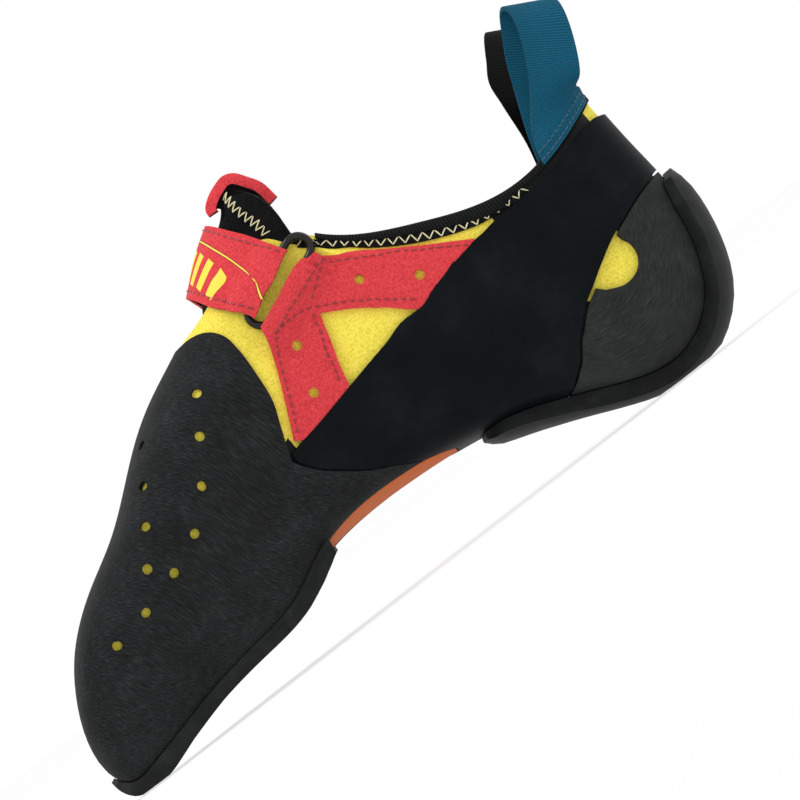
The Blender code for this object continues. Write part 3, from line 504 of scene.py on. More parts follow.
def cutPattern(corners, cell):
    flat = bmesh.new()
    flat.faces.new([flat.verts.new((a * patternLength, v * patternGirth, 0)) for a, v in corners])
    low = (min(a for a, v in corners) * patternLength, min(v for a, v in corners) * patternGirth)
    high = (max(a for a, v in corners) * patternLength, max(v for a, v in corners) * patternGirth)
    for axis in (0, 1):
        for line in np.arange(math.ceil(low[axis] / cell), math.ceil(high[axis] / cell)) * cell:
            if line < low[axis] + 1e-4 or line > high[axis] - 1e-4:
                continue
            place, normal = [0, 0, 0], [0, 0, 0]
            place[axis], normal[axis] = line, 1
            everything = flat.verts[:] + flat.edges[:] + flat.faces[:]
            bmesh.ops.bisect_plane(flat, geom=everything, dist=2e-5, plane_co=place, plane_no=normal)
    flat.verts.index_update()
    points = [(v.co.x / patternLength, v.co.y / patternGirth) for v in flat.verts]
    faces = [[v.index for v in f.verts] for f in flat.faces]
    flat.free()
    return points, faces


def active(piece):
    bpy.ops.object.select_all(action="DESELECT")
    piece.select_set(True)
    bpy.context.view_layer.objects.active = piece


def softEdge(piece, width, segments=2, angle=50):
    active(piece)
    bevel = piece.modifiers.new("edge", "BEVEL")
    bevel.width, bevel.segments = width, segments
    bevel.limit_method, bevel.angle_limit = "ANGLE", math.radians(angle)
    bevel.loop_slide = False
    bpy.ops.object.modifier_apply(modifier="edge")
    bpy.ops.object.shade_smooth_by_angle(angle=math.radians(35))


def build(name, points, faces, materials, flat=None, slots=None):
    shape = bmesh.new()
    layer = shape.loops.layers.uv.new("pattern")
    verts = [shape.verts.new(Vector([float(c) for c in p])) for p in points]
    for n, ring in enumerate(faces):
        try:
            face = shape.faces.new([verts[i] for i in ring])
        except ValueError:
            continue
        if slots is not None:
            face.material_index = slots[n]
        if flat is not None:
            for loop, i in zip(face.loops, ring):
                loop[layer].uv = flat[i]
    bmesh.ops.remove_doubles(shape, verts=shape.verts[:], dist=1e-6)
    bmesh.ops.recalc_face_normals(shape, faces=shape.faces[:])
    big = [f for f in shape.faces if len(f.verts) > 4]
    bmesh.ops.triangulate(shape, faces=big)
    mesh = bpy.data.meshes.new(name)
    shape.to_mesh(mesh)
    shape.free()
    mesh.shade_smooth()
    mesh.set_sharp_from_angle(angle=math.radians(40))
    for material in materials:
        mesh.materials.append(material)
    piece = bpy.data.objects.new(name, mesh)
    bpy.context.scene.collection.objects.link(piece)
    return piece


def panel(name, patterns, inside, outside, materials, cell=2.6 * mm, ledges=()):
    points, faces = [], []
    for corners in patterns:
        morePoints, moreFaces = cutPattern(corners, cell)
        faces += [[i + len(points) for i in ring] for ring in moreFaces]
        points += morePoints
    points, faces = weld(points, faces)
    along = np.array([a for a, v in points])
    around = np.array([v for a, v in points])
    count = len(points)
    shells = [inside(along, around), outside(along, around)]
    shells += [ledge(along, around) for ledge in ledges]
    steps = [0] + list(range(2, 2 + len(ledges))) + [1]
    rings = [list(reversed(ring)) for ring in faces] + [[i + count for i in ring] for ring in faces]
    slots = [len(materials) - 1] * len(faces) + [0] * len(faces)
    uses = {(ring[i - 1], b) for ring in faces for i, b in enumerate(ring)}
    for a, b in [edge for edge in uses if (edge[1], edge[0]) not in uses]:
        for low, high in zip(steps, steps[1:]):
            rings.append([a + low * count, b + low * count, b + high * count, a + high * count])
            slots.append(0)
    flat = np.stack([along * patternLength, around * patternGirth], -1)
    flat = np.concatenate([flat] * len(shells))
    return build(name, np.concatenate(shells), rings, materials, flat, slots)


def skin(rings, base=0, closed=False):
    count, faces = len(rings[0]), []
    for i in range(len(rings) if closed else len(rings) - 1):
        low, high = base + i * count, base + (i + 1) % len(rings) * count
        for k in range(count):
            m = (k + 1) % count
            faces.append([low + k, low + m, high + m, high + k])
    if not closed:
        faces.append([base + k for k in range(count)][::-1])
        faces.append([base + (len(rings) - 1) * count + k for k in range(count)])
    return faces


def loft(name, rings, materials, closed=False, flat=None):
    points = [p for ring in rings for p in ring]
    return build(name, points, skin(rings, closed=closed), materials, flat)


def lengths(run):
    return np.concatenate([[0], np.cumsum(np.linalg.norm(np.diff(run, axis=0), axis=1))])


def walk(points, step):
    run = np.array(points)
    length = lengths(run)
    count = max(2, int(round(length[-1] / step)) + 1)
    spots = np.linspace(0, length[-1], count)
    return np.stack([np.interp(spots, length, run[:, k]) for k in range(run.shape[1])], -1)


def surfaceRun(outline, height):
    dense = walk([(a * patternLength, v * patternGirth) for a, v in outline], fineStep)
    along, around = dense[:, 0] / patternLength, dense[:, 1] / patternGirth
    return height(along, around), outward(along, around)


# A stitch: (share of its length, height, fullness), its ends sunk in what it holds.
threadShape = ((0.0, None, 0.5), (0.14, 0.2, 0.9), (0.5, 0.55, 1.0), (0.86, 0.2, 0.9), (1.0, None, 0.5))


def threadRings(start, end, up, radius, sink, sides=6):
    rings = []
    side = unit(np.cross(unit(end - start), up))
    angles = np.arange(sides) * 2 * math.pi / sides
    for share, rise, full in threadShape:
        centre = start + share * (end - start) + up * radius * (-sink if rise is None else rise)
        rings.append([centre + radius * full * (math.cos(t) * side + math.sin(t) * up) for t in angles])
    return rings


def sew(name, seams, *materials):
    points, faces = [], []
    for rings in seams:
        faces += skin(rings, len(points))
        points += [p for ring in rings for p in ring]
    return build(name, points, faces, materials)


fineStep = 0.25 * mm
stitchSink, zigzagSink, zigzagBlur = 0.9, 0.3, 15


def stitchLine(outline, height, pitch, radius, gapShare=0.25):
    places, normals = surfaceRun(outline, height)
    length = lengths(places)
    count = max(1, int(length[-1] / pitch))
    seams = []
    for n in range(count):
        low = (n + 0.5 * gapShare) * length[-1] / count
        high = (n + 1 - 0.5 * gapShare) * length[-1] / count
        i, j = np.searchsorted(length, low), min(np.searchsorted(length, high), len(places) - 1)
        seams.append(threadRings(places[i], places[j], normals[i], radius, stitchSink))
    return seams


def zigzag(outline, height, pitch, width, radius):
    places, normals = surfaceRun(outline, height)
    blur = np.ones(zigzagBlur) / zigzagBlur
    beyond = zigzagBlur // 2
    padded = np.concatenate([normals[:1].repeat(beyond, 0), normals, normals[-1:].repeat(beyond, 0)])
    normals = unit(np.stack([np.convolve(padded[:, k], blur, "valid") for k in range(3)], -1))
    length = lengths(places)
    count = max(2, int(length[-1] / (pitch / 2)))
    spots = np.linspace(0, length[-1], count + 1)
    middle = np.stack([np.interp(spots, length, places[:, k]) for k in range(3)], -1)
    up = np.stack([np.interp(spots, length, normals[:, k]) for k in range(3)], -1)
    side = unit(np.cross(up, np.gradient(middle, axis=0)))
    corners = middle + side * 0.5 * width * np.where(np.arange(count + 1) % 2, 1, -1)[:, None]
    return [threadRings(corners[i], corners[i + 1], up[i], radius, zigzagSink) for i in range(count)]


# Materials. Colours are sRGB hex, turned to linear by one function.
def linear(hexColour):
    parts = [int(hexColour[i:i + 2], 16) / 255 for i in (1, 3, 5)]
    return tuple(c / 12.92 if c < 0.04045 else ((c + 0.055) / 1.055) ** 2.4 for c in parts) + (1,)


def node(tree, kind, settings=None, **inputs):
    made = tree.nodes.new("ShaderNode" + kind)
    for key, value in (settings or {}).items():
        setattr(made, key, value)
    for key, value in inputs.items():
        number = int(key[1:]) if key[1:].isdigit() else key.replace("_", " ")
        socket = made.inputs[number]
        if isinstance(value, tuple) and hasattr(value[0], "outputs"):
            tree.links.new(value[0].outputs[value[1]], socket)
        else:
            socket.default_value = value
    return made


def blank(name, hexColour, roughness, **sockets):
    material = bpy.data.materials.new(name)
    material.use_nodes = True
    shader = material.node_tree.nodes["Principled BSDF"]
    shader.inputs["Base Color"].default_value = linear(hexColour)
    shader.inputs["Roughness"].default_value = roughness
    for key, value in sockets.items():
        shader.inputs[key.replace("_", " ")].default_value = value
    material.diffuse_color = linear(hexColour)
    return material, material.node_tree, shader


def tinted(tree, shader, factor, colours):
    ramp = node(tree, "ValToRGB", Fac=factor)
    ramp.color_ramp.elements[0].position, ramp.color_ramp.elements[1].position = 0.3, 0.7
    ramp.color_ramp.elements[0].color = linear(colours[0])
    ramp.color_ramp.elements[1].color = linear(colours[-1])
    if len(colours) > 2:
        ramp.color_ramp.elements.new(0.5).color = linear(colours[1])
    tree.links.new(ramp.outputs["Color"], shader.inputs["Base Color"])
    return ramp


def roughened(tree, shader, factor, low, high):
    spread = node(tree, "MapRange", Value=factor, To_Min=low, To_Max=high)
    tree.links.new(spread.outputs["Result"], shader.inputs["Roughness"])


def bumped(tree, shader, height, distance, strength=1.0, under=None):
    bump = node(tree, "Bump", Height=height, Distance=distance, Strength=strength)
    if under:
        tree.links.new(under.outputs["Normal"], bump.inputs["Normal"])
    tree.links.new(bump.outputs["Normal"], shader.inputs["Normal"])
    return bump


def objectCoords(tree):
    return (node(tree, "TexCoord"), "Object")


def patternCoords(tree, turn=0.0, scale=(1, 1, 1)):
    uv = node(tree, "UVMap", {"uv_map": "pattern"})
    turned = node(tree, "Mapping", Vector=(uv, "UV"), Rotation=(0, 0, turn))
    return (node(tree, "Mapping", Vector=(turned, "Vector"), Scale=scale), "Vector")


def noise(tree, coords, size, detail=3.0, rough=0.55):
    return node(tree, "TexNoise", Vector=coords, Scale=1.0 / size, Detail=detail, Roughness=rough)


def blended(tree, share, first, second):
    return node(tree, "Mix", {"data_type": "FLOAT"}, Factor=share, _2=first, _3=second)


# What suede and the plain rubbers share: a fine grain over wide clouds, each given as
# (size, detail, roughness, depth, strength of its bump); rough is the plain value and its range.
def grained(name, colours, tint, rough, fine, wide, **sockets):
    material, tree, shader = blank(name, colours[1], rough[0], **sockets)
    coords = objectCoords(tree)
    layers = {"fine": noise(tree, coords, *fine[:3]), "wide": noise(tree, coords, *wide[:3])}
    tinted(tree, shader, (layers[tint], "Fac"), colours)
    roughened(tree, shader, (layers["wide"], "Fac"), *rough[1:])
    under = bumped(tree, shader, (layers["fine"], "Fac"), *fine[3:])
    bumped(tree, shader, (layers["wide"], "Fac"), *wide[3:], under)
    return material, shader


# Microsuede: a short brushed nap in clumps under 1 mm, with soft patches where it was stroked.
def microsuede(name, colours, sheen):
    material, shader = grained(name, colours, "fine", (0.92, 0.85, 1.0),
                               (0.7 * mm, 4.0, 0.7, 0.22 * mm, 0.75), (9 * mm, 2.0, 0.55, 0.8 * mm, 0.35),
                               Sheen_Weight=0.12, Sheen_Roughness=0.45, Specular_IOR_Level=0.25)
    shader.inputs["Sheen Tint"].default_value = linear(sheen)
    return material


# Smooth rand rubber: sheet rubber with a satin skin, a faint bloom and a few dull rubs.
def sheetRubber(name, colours):
    return grained(name, colours, "wide", (0.5, 0.42, 0.66), (0.5 * mm, 4.0, 0.7, 0.05 * mm, 0.5),
                   (16 * mm, 4.0, 0.6, 0.5 * mm, 0.25), Specular_IOR_Level=0.06)[0]


# Buffed rubber: sanded before gluing, so fine scratches run one way and the black turns greyish.
def buffedRubber(name, turn, colours):
    material, tree, shader = blank(name, colours[1], 0.72, Specular_IOR_Level=0.12)
    lines = noise(tree, patternCoords(tree, turn, (1, 12, 1)), 3.2 * mm, 5.0, 0.75)
    coords = objectCoords(tree)
    cloud = noise(tree, coords, 12 * mm, 4.0, 0.6)
    grit = noise(tree, coords, 0.45 * mm, 3.0, 0.8)
    both = blended(tree, 0.2, (lines, "Fac"), (cloud, "Fac"))
    ramp = tinted(tree, shader, (both, 0), colours)
    ramp.color_ramp.elements[0].position, ramp.color_ramp.elements[2].position = 0.38, 0.64
    roughened(tree, shader, (lines, "Fac"), 0.6, 0.85)
    fine = bumped(tree, shader, (grit, "Fac"), 0.07 * mm, 0.5)
    bumped(tree, shader, (lines, "Fac"), 0.20 * mm, 0.8, fine)
    return material


# Sole rubber: moulded, cut and sanded at its edge, darker and a little waxy.
def mouldedRubber(name, colours):
    return grained(name, colours, "wide", (0.6, 0.48, 0.74), (0.6 * mm, 3.0, 0.75, 0.10 * mm, 0.5),
                   (8 * mm, 5.0, 0.65, 0.4 * mm, 0.3), Specular_IOR_Level=0.14)[0]


# Woven tape and knits: threads crossing at a real pitch, seen as small bumps in rows.
waveCount = 20   # a wave texture's bands in one turn of its scale


def woven(name, colours, pitch, turn=0.0, roughness=0.75, ribs=1.0, depth=0.25):
    material, tree, shader = blank(name, colours[1], roughness, Specular_IOR_Level=0.12)
    coords = patternCoords(tree, turn)
    waves = []
    for direction, share in (("X", 1.0), ("Y", ribs)):
        waves.append(node(tree, "TexWave", {"bands_direction": direction}, Vector=coords,
                          Scale=share * 2 * math.pi / waveCount / pitch, Distortion=0.6,
                          Detail=1.0, Detail_Scale=2.0))
    cross = node(tree, "Math", {"operation": "MULTIPLY"},
                 _0=(waves[0], "Fac"), _1=(waves[1], "Fac"))
    fuzz = noise(tree, objectCoords(tree), 0.5 * mm, 3.0, 0.8)
    both = blended(tree, 0.4, (cross, "Value"), (fuzz, "Fac"))
    tinted(tree, shader, (both, 0), colours)
    bumped(tree, shader, (both, 0), depth * mm, 0.9)
    return material


# Orange board: pressed fibre with a matt face.
def fibreBoard(name):
    material, tree, shader = blank(name, "#bd5d22", 0.8, Specular_IOR_Level=0.2)
    fibres = noise(tree, patternCoords(tree, 0.3, (1, 6, 1)), 4 * mm, 5.0, 0.7)
    tinted(tree, shader, (fibres, "Fac"), ("#a84c18", "#bd5d22", "#cc6f33"))
    bumped(tree, shader, (fibres, "Fac"), 0.12 * mm, 0.5)
    return material


# Ring: injection moulded nylon, glossy black with a thin clear skin.
def mouldedNylon(name):
    material, tree, shader = blank(name, "#0a0a0a", 0.3, Specular_IOR_Level=0.25,
                                   Coat_Weight=0.2, Coat_Roughness=0.08)
    cloud = noise(tree, objectCoords(tree), 3 * mm, 2.0)
    tinted(tree, shader, (cloud, "Fac"), ("#060606", "#0a0a0a", "#101011"))
    roughened(tree, shader, (cloud, "Fac"), 0.15, 0.3)
    bumped(tree, shader, (cloud, "Fac"), 0.08 * mm, 0.3)
    return material


# Sewing thread: twisted polyester with a slight sheen.
def thread(name, dark, light):
    material, tree, shader = blank(name, light, 0.55, Sheen_Weight=0.2)
    twist = noise(tree, objectCoords(tree), 0.5 * mm, 2.0, 0.7)
    tinted(tree, shader, (twist, "Fac"), (dark, light))
    bumped(tree, shader, (twist, "Fac"), 0.08 * mm, 0.6)
    return material


# Print: a thin coat of ink, slightly uneven.
def printInk(name, colour, roughness):
    material, tree, shader = blank(name, colour, roughness)
    bumped(tree, shader, (noise(tree, objectCoords(tree), 0.6 * mm), "Fac"), 0.1 * mm, 0.5)
    return material


yellow = microsuede("yellowMicrosuede", ("#cdbb3a", "#eedb4e", "#f8e86a"), "#fff6a8")
red = microsuede("redMicrosuede", ("#ae2a30", "#cd393f", "#de494f"), "#ff9a9a")
smoothRand = sheetRubber("sheetRubber", ("#06090c", "#0a0e11", "#12171b"))
patchRubber = buffedRubber("buffedPatchRubber", 0.9, ("#0c0d0e", "#191a1b", "#363839"))
cupRubber = buffedRubber("buffedCupRubber", 0.4, ("#1a1b1b", "#272928", "#3a3c3b"))
soleBlacks = ("#0e0f10", "#151617", "#222423")
soleRubber = mouldedRubber("mouldedSoleRubber", soleBlacks)
cement = mouldedRubber("rubberCement", soleBlacks)
board = fibreBoard("fibreBoard")
lining = woven("greyLiningMesh", ("#2a2a2a", "#3c3c3c", "#555555"), 1.1 * mm, 0.4, 0.9)
ribbed = woven("ribbedElastic", ("#070808", "#0f1010", "#1e1f1f"), 1.0 * mm, 0.0, 0.8, 0.35)
knit = woven("stretchKnit", ("#070809", "#0e0f10", "#1b1c1d"), 0.9 * mm, 0.75, 0.85, 0.5)
nylon = mouldedNylon("mouldedNylon")
blueTape = woven("blueWebbing", ("#07445b", "#0c5b78", "#177694"), 0.75 * mm, 0.0, 0.7, 1.0, 0.3)
blackTape = woven("blackWebbing", ("#070808", "#0f1010", "#202121"), 0.75 * mm, 0.0, 0.75, 1.0, 0.3)
paleThread = thread("paleThread", "#b9b083", "#ece6bd")
redThread = thread("darkRedThread", "#6d1c22", "#932830")
blueThread = thread("darkBlueThread", "#0b3949", "#13506a")
blackThread = thread("blackThread", "#0c0c0c", "#222222")
yellowPrint = printInk("yellowPrint", "#f0d23c", 0.6)
darkPrint = printInk("darkRedPrint", "#7c1f26", 0.7)
print("materials made")


def settle(piece, slotName, *replaced):
    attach(piece, "root")
    if replaced:
        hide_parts(*replaced)
    return piece


# A panel on both sides of the pattern, its edges softened.
def bothSides(name, side, inside, outside, material, edge, slotName, replaced, **more):
    piece = panel(name, [side, mirrored(side)], inside, outside, [material], **more)
    softEdge(piece, *edge)
    return settle(piece, slotName, replaced)


# Upper: yellow microsuede outside, grey mesh lining inside, open at collar, throat and
# underneath. Black cement shows beside its seams and at the heel's corner of the collar.
upper = {"edge": 0.4 * mm, "seamStep": 1 * mm, "cementReach": 3.2 * mm, "cementFrom": 0.972,
         "cementAround": (0.14, 0.47)}


def makeUpper():
    hole = [(underFront, 0.0), (underFront, underEdge), (underRear, underEdge), (underRear, 0.0)]
    side = [(0.0, 0.0)] + hole + [(1.0, 0.0)] + curved(throatEdge) + [(0.0, 1.0)]
    piece = panel("upperShell", [side, mirrored(side)], raised(-wallThick), raised(0.0), [yellow, lining])
    mesh = piece.data
    mesh.materials.append(cement)
    seams = [walk([(a * patternLength, v * patternGirth) for a, v in curved(run)], upper["seamStep"])
             for run in (slingRear[:8], slingRear[11:], randLow)]
    seams = np.concatenate(seams)
    uv = mesh.uv_layers["pattern"].data
    low, high = upper["cementAround"]
    for face in mesh.polygons:
        spots = np.array([uv[i].uv for i in face.loop_indices])
        spots[:, 1] = np.minimum(np.abs(spots[:, 1]), 2 * patternGirth - np.abs(spots[:, 1]))
        a, v = spots.mean(0) / (patternLength, patternGirth)
        away = np.linalg.norm(seams - spots.mean(0), axis=1).min()
        covered = (a > upper["cementFrom"] and low < v < high) or away < upper["cementReach"]
        if face.material_index == 0 and covered:
            face.material_index = 2
    softEdge(piece, upper["edge"])
    return settle(piece, "yellow_microsuede", "upper")


# Punched holes, with the yellow showing below: (along, around).
holes = {"width": 3.0 * mm, "sides": 14, "reach": (-0.2 * mm, 6.0 * mm)}
patchHoles = ((0.420, 0.712), (0.390, 0.642), (0.353, 0.590), (0.309, 0.564), (0.257, 0.566), (0.328, 0.858),
              (0.297, 0.762), (0.266, 0.694), (0.234, 0.630), (0.199, 0.578), (0.146, 0.600))
yokeHoles = ((0.762, 0.623), (0.854, 0.583), (0.564, 0.583), (0.536, 0.529))


def punch(piece, places, side):
    plugs = []
    angles = np.arange(holes["sides"]) * 2 * math.pi / holes["sides"]
    for a, v in places:
        v = v if side > 0 else 2 - v
        spot, up = last(np.array(a), np.array(v)), outward(np.array(a), np.array(v))
        run = unit(np.cross(up, (0, 1, 0.01)))
        across = np.cross(up, run)
        circle = [0.5 * holes["width"] * (math.cos(t) * run + math.sin(t) * across) for t in angles]
        plugs.append([[spot + up * level + p for p in circle] for level in holes["reach"]])
    cutter = sew("cutter", plugs)
    active(piece)
    cut = piece.modifiers.new("punch", "BOOLEAN")
    cut.operation, cut.object, cut.solver = "DIFFERENCE", cutter, "MANIFOLD"
    bpy.ops.object.modifier_apply(modifier="punch")
    bpy.data.objects.remove(cutter, do_unlink=True)
    bpy.ops.object.shade_smooth_by_angle(angle=math.radians(35))


# Toe patch: buffed rubber, with vent holes in two rows on each side.
def makeToePatch():
    low = beside(curved(randLow), -seamGap)
    under = [(marginToe, 0.0), (marginToe, 0.11), (0.14, marginEdge), (0.560, marginEdge)]
    side = [(0.0, 0.0)] + under + low[::-1] + curved(patchTop)[-3::-1] + [(0.0, 1.0)]
    piece = panel("toePatch", [side, mirrored(side)], raised(gap), patchFace, [patchRubber])
    softEdge(piece, 0.35 * mm)
    punch(piece, patchHoles, 1)
    punch(piece, patchHoles, -1)
    return settle(piece, "buffed_rubber", "toe_patch")


seamEdge = (0.25 * mm,)   # how far a panel's edge is rounded where it meets another


# Slingshot rand: one strap of smooth rubber from the arch up round the heel.
def makeSlingshot():
    start = [(marginRear, 0.0), (marginRear, 0.08), (0.594, 0.13)]
    tip = (randLow[0][0] + 2 * seamGap / patternLength, randLow[0][1])
    side = start + curved(randLow)[:0:-1] + [tip] + curved(slingFront)[2:]
    side += curved(heelTop) + curved(slingRear)[::-1]
    return bothSides("slingshotRand", side, raised(gap), randFace, smoothRand, seamEdge,
                     "smooth_rubber", "slingshot_rand")


# Heel cup: buffed rubber set into the slingshot, with a window to the yellow at each side.
windowCut = (33, 41)   # the places of slingRear's curve that the window replaces


def makeHeelCup():
    edge = beside(curved(slingRear), -seamGap)
    edge[0], edge[-1] = (edge[0][0], 0.0), (edge[-1][0], 0.0)
    side = edge[:windowCut[0]] + curved(cupWindow) + edge[windowCut[1]:]
    return bothSides("heelCup", side, raised(gap), randFace, cupRubber, seamEdge,
                     "buffed_rubber", "heel_cup")


def makeMidsole():
    toe, edge = marginToe + seamGap / patternLength, marginEdge - seamGap / patternGirth
    rear = marginRear - seamGap / patternLength
    side = [(toe, 0.0), (toe, 0.10), (0.14, edge), (0.560, edge), (0.588, 0.125), (rear, 0.075), (rear, 0.0)]
    return bothSides("archBoard", side, raised(gap), raised(gap + randThick * 0.85), board, seamEdge,
                     "orange_board", "midsole")


insoleSinks = (0.66, 0.08)   # where the insole steps down to the heel


def makeInsole():
    half = 0.43 * insoleWidth / ballWidth

    def face(layers):
        return lambda along, around: offLast(
            along, around, -wallThick - gap - insoleThick * (layers + easeOver(along, insoleSinks)))
    run = [(0.072, 0.10), (0.10, half - 0.03), (0.15, half), (0.60, half), (0.735, half - 0.02),
           (0.765, 0.10)]
    side = [(0.06, 0.0)] + curved(run) + [(0.772, 0.0)]
    return bothSides("insoleBoard", side, face(1), face(0), lining, (0.3 * mm,), "grey_lining", "insole")


# Outsoles: moulded rubber, flat where they stand; the front one stands a little past the rand.
def makeOutsoleFront():
    value = soleTable(soleRows)
    side = [row[:2] for row in soleRows] + [(soleRows[-1][0], 0.0)]
    side = [side[0]] + curved(side[1:-1], 3) + [side[-1]]

    def rim(along, around):
        return offLast(along, around, bead(along, around) + gap + soleEdge)

    def tread(along, around):
        keel, down = keelFrame(along)
        edge = np.maximum(value(along, 1), 1e-3)
        share = np.clip(np.abs(around) / edge, 0, 1)
        placed = keel + (cladThick + soleThick * value(along, 2))[..., None] * down
        inner, outer = soleSeat(along, around), rim(along, np.sign(around) * edge)
        placed[..., 1] = inner[..., 1] + share ** 4 * (outer[..., 1] - inner[..., 1])
        placed[..., 2] = np.maximum(placed[..., 2], 0.0)
        return placed
    return bothSides("outsoleFore", side, soleSeat, tread, soleRubber, (0.5 * mm, 2, 40),
                     "sole_rubber", "outsole_front", ledges=(rim,))


# The heel's sole thins to its front end and is rounded across.
heelFront = {"thin": 0.45, "over": 0.016, "round": 0.16}


def makeOutsoleHeel():
    value = soleTable(heelRows)
    side = [heelRows[0][:2]] + curved([row[:2] for row in heelRows[1:-1]], 3) + [heelRows[-1][:2]]

    def tread(along, around):
        edge = np.maximum(value(along, 1), 1e-3)
        share = np.clip(np.abs(around) / edge, 0, 1)
        front = heelFront["thin"] + (1 - heelFront["thin"]) * ease(
            (along - heelRows[0][0]) / heelFront["over"]) ** 0.5
        thick = heelSole * value(along, 2) * front
        placed = offLast(along, around, cladThick + thick * (1 - heelFront["round"] * share ** 4))
        placed[..., 2] = np.maximum(placed[..., 2], 0.0)
        return placed
    return bothSides("outsoleRear", side, soleSeat, tread, soleRubber, (0.6 * mm, 3, 40),
                     "sole_rubber", "outsole_heel")


# Yokes: red microsuede, raised over the ring's bar on the inner side, with dark red stitching
# along the edges.
yokeStitch = {"pitch": 2.3 * mm, "radius": 0.26 * mm}
fineCell, knitCell = 1.3 * mm, 1.6 * mm
yokeSeams = (
    [(0.773, 0.674), (0.844, 0.658), (0.888, 0.633), (0.929, 0.598), (0.938, 0.569), (0.943, 0.543),
     (0.944, 0.522)],
    [(0.781, 0.572), (0.755, 0.580), (0.718, 0.584), (0.680, 0.588), (0.648, 0.595), (0.623, 0.604)],
    [(0.616, 0.601), (0.601, 0.576), (0.586, 0.551), (0.577, 0.530), (0.569, 0.517)],
    [(0.486, 0.514), (0.504, 0.541), (0.523, 0.574), (0.542, 0.604), (0.551, 0.617)],
    [(0.757, 0.671), (0.667, 0.640), (0.615, 0.628), (0.581, 0.622), (0.551, 0.619)],
    [(0.769, 0.672), (0.679, 0.635), (0.630, 0.614)],
    [(0.623, 0.605), (0.597, 0.612), (0.572, 0.617), (0.552, 0.618)],
)


def makeYokes():
    low = beside(curved(slingFront), -0.3 * mm)
    arm = [p for p in low if 0.748 < p[0] < 0.950][::-1]
    leg = [p for p in low if 0.482 < p[0] < 0.566][::-1]
    side = curved(armTop) + arm + curved(armLow) + curved(legRight)[1:] + leg + curved(legLeft)

    def faceAt(height, way):
        return lambda along, around: offLast(along, around, height + barLift(along, around, -1) * way)
    piece = panel("yokeInner", [side], faceAt(gap, 1), faceAt(gap + yokeThick, 1), [red], fineCell)
    softEdge(piece, 0.4 * mm)
    punch(piece, yokeHoles, 1)
    settle(piece, "red_microsuede", "yoke_medial")
    other = panel("yokeOuter", [overRidge(side)], raised(gap), raised(gap + yokeThick), [red], fineCell)
    softEdge(other, 0.4 * mm)
    punch(other, yokeHoles, -1)
    settle(other, "red_microsuede", "yoke_lateral")
    lines = [curved(run) for run in yokeSeams]
    for sign, lift in ((1, 1), (-1, 0)):
        seams = []
        for line in lines:
            placed = line if sign > 0 else [(a, 2 - v) for a, v in line]
            face = faceAt(gap + yokeThick, lift)
            seams += stitchLine(placed, face, yokeStitch["pitch"], yokeStitch["radius"])
        stitched = sew("yokeStitches" + ("Inner" if sign > 0 else "Outer"), seams, redThread)
        settle(stitched, "red_microsuede")


# Ring: an oblong of glossy nylon, bent to the shoe, held by the yoke and the strap.
ring = {"sides": 14, "barPoints": 10, "endPoints": 14}


def makeRing():
    middle, run, across, up = ringFrame(0.5)
    height = gap + 0.5 * ringWire + 0.15 * mm
    half, turn = 0.5 * (ringLength - ringWidth), 0.5 * (ringWidth - ringWire)
    route = []
    for side, way in ((1, 1), (-1, -1)):
        for k in range(ring["barPoints"]):
            route.append((way * half * (2 * k / (ring["barPoints"] - 1) - 1), side * turn))
        for k in range(1, ring["endPoints"]):
            angle = math.pi * k / ring["endPoints"]
            route.append((way * (half + turn * math.sin(angle)), side * turn * math.cos(angle)))
    centres = []
    for length, reach in route:
        ground, _, _, _ = ringFrame(0.5 + length / ringLength * 0.93)
        centres.append(middle + run * length + across * reach + up * (height + float((ground - middle) @ up)))
    rings = tube(centres, 0.5 * ringWire, ring["sides"], up)
    piece = loft("strapRing", rings, [nylon], closed=True)
    return settle(piece, "black_nylon", "strap_ring")


# Strap: red microsuede on a black backing, over the tongue, with two stitch lines and plain
# printed bars.
strap = {"pitch": 2.6 * mm, "radius": 0.26 * mm, "inkBelow": 0.2 * mm, "inkHigh": 0.07 * mm,
         "edgeHigh": 0.03 * mm, "edgeWidth": 1.5 * mm, "lineWidth": 0.7 * mm, "bars": 4,
         "barWidth": 3.0 * mm, "barsFrom": 0.792, "barsApart": 0.058}
strapUp = [(0.712, 0.701), (0.684, 0.732), (0.654, 0.775), (0.630, 0.835), (0.616, 0.923), (0.612, 1.0),
           (0.620, 1.13), (0.650, 1.28), (0.685, 1.36)]
strapDown = [(0.535, 1.40), (0.520, 1.28), (0.506, 1.15), (0.502, 1.0), (0.504, 0.930), (0.510, 0.831),
             (0.523, 0.754), (0.538, 0.699), (0.551, 0.662)]


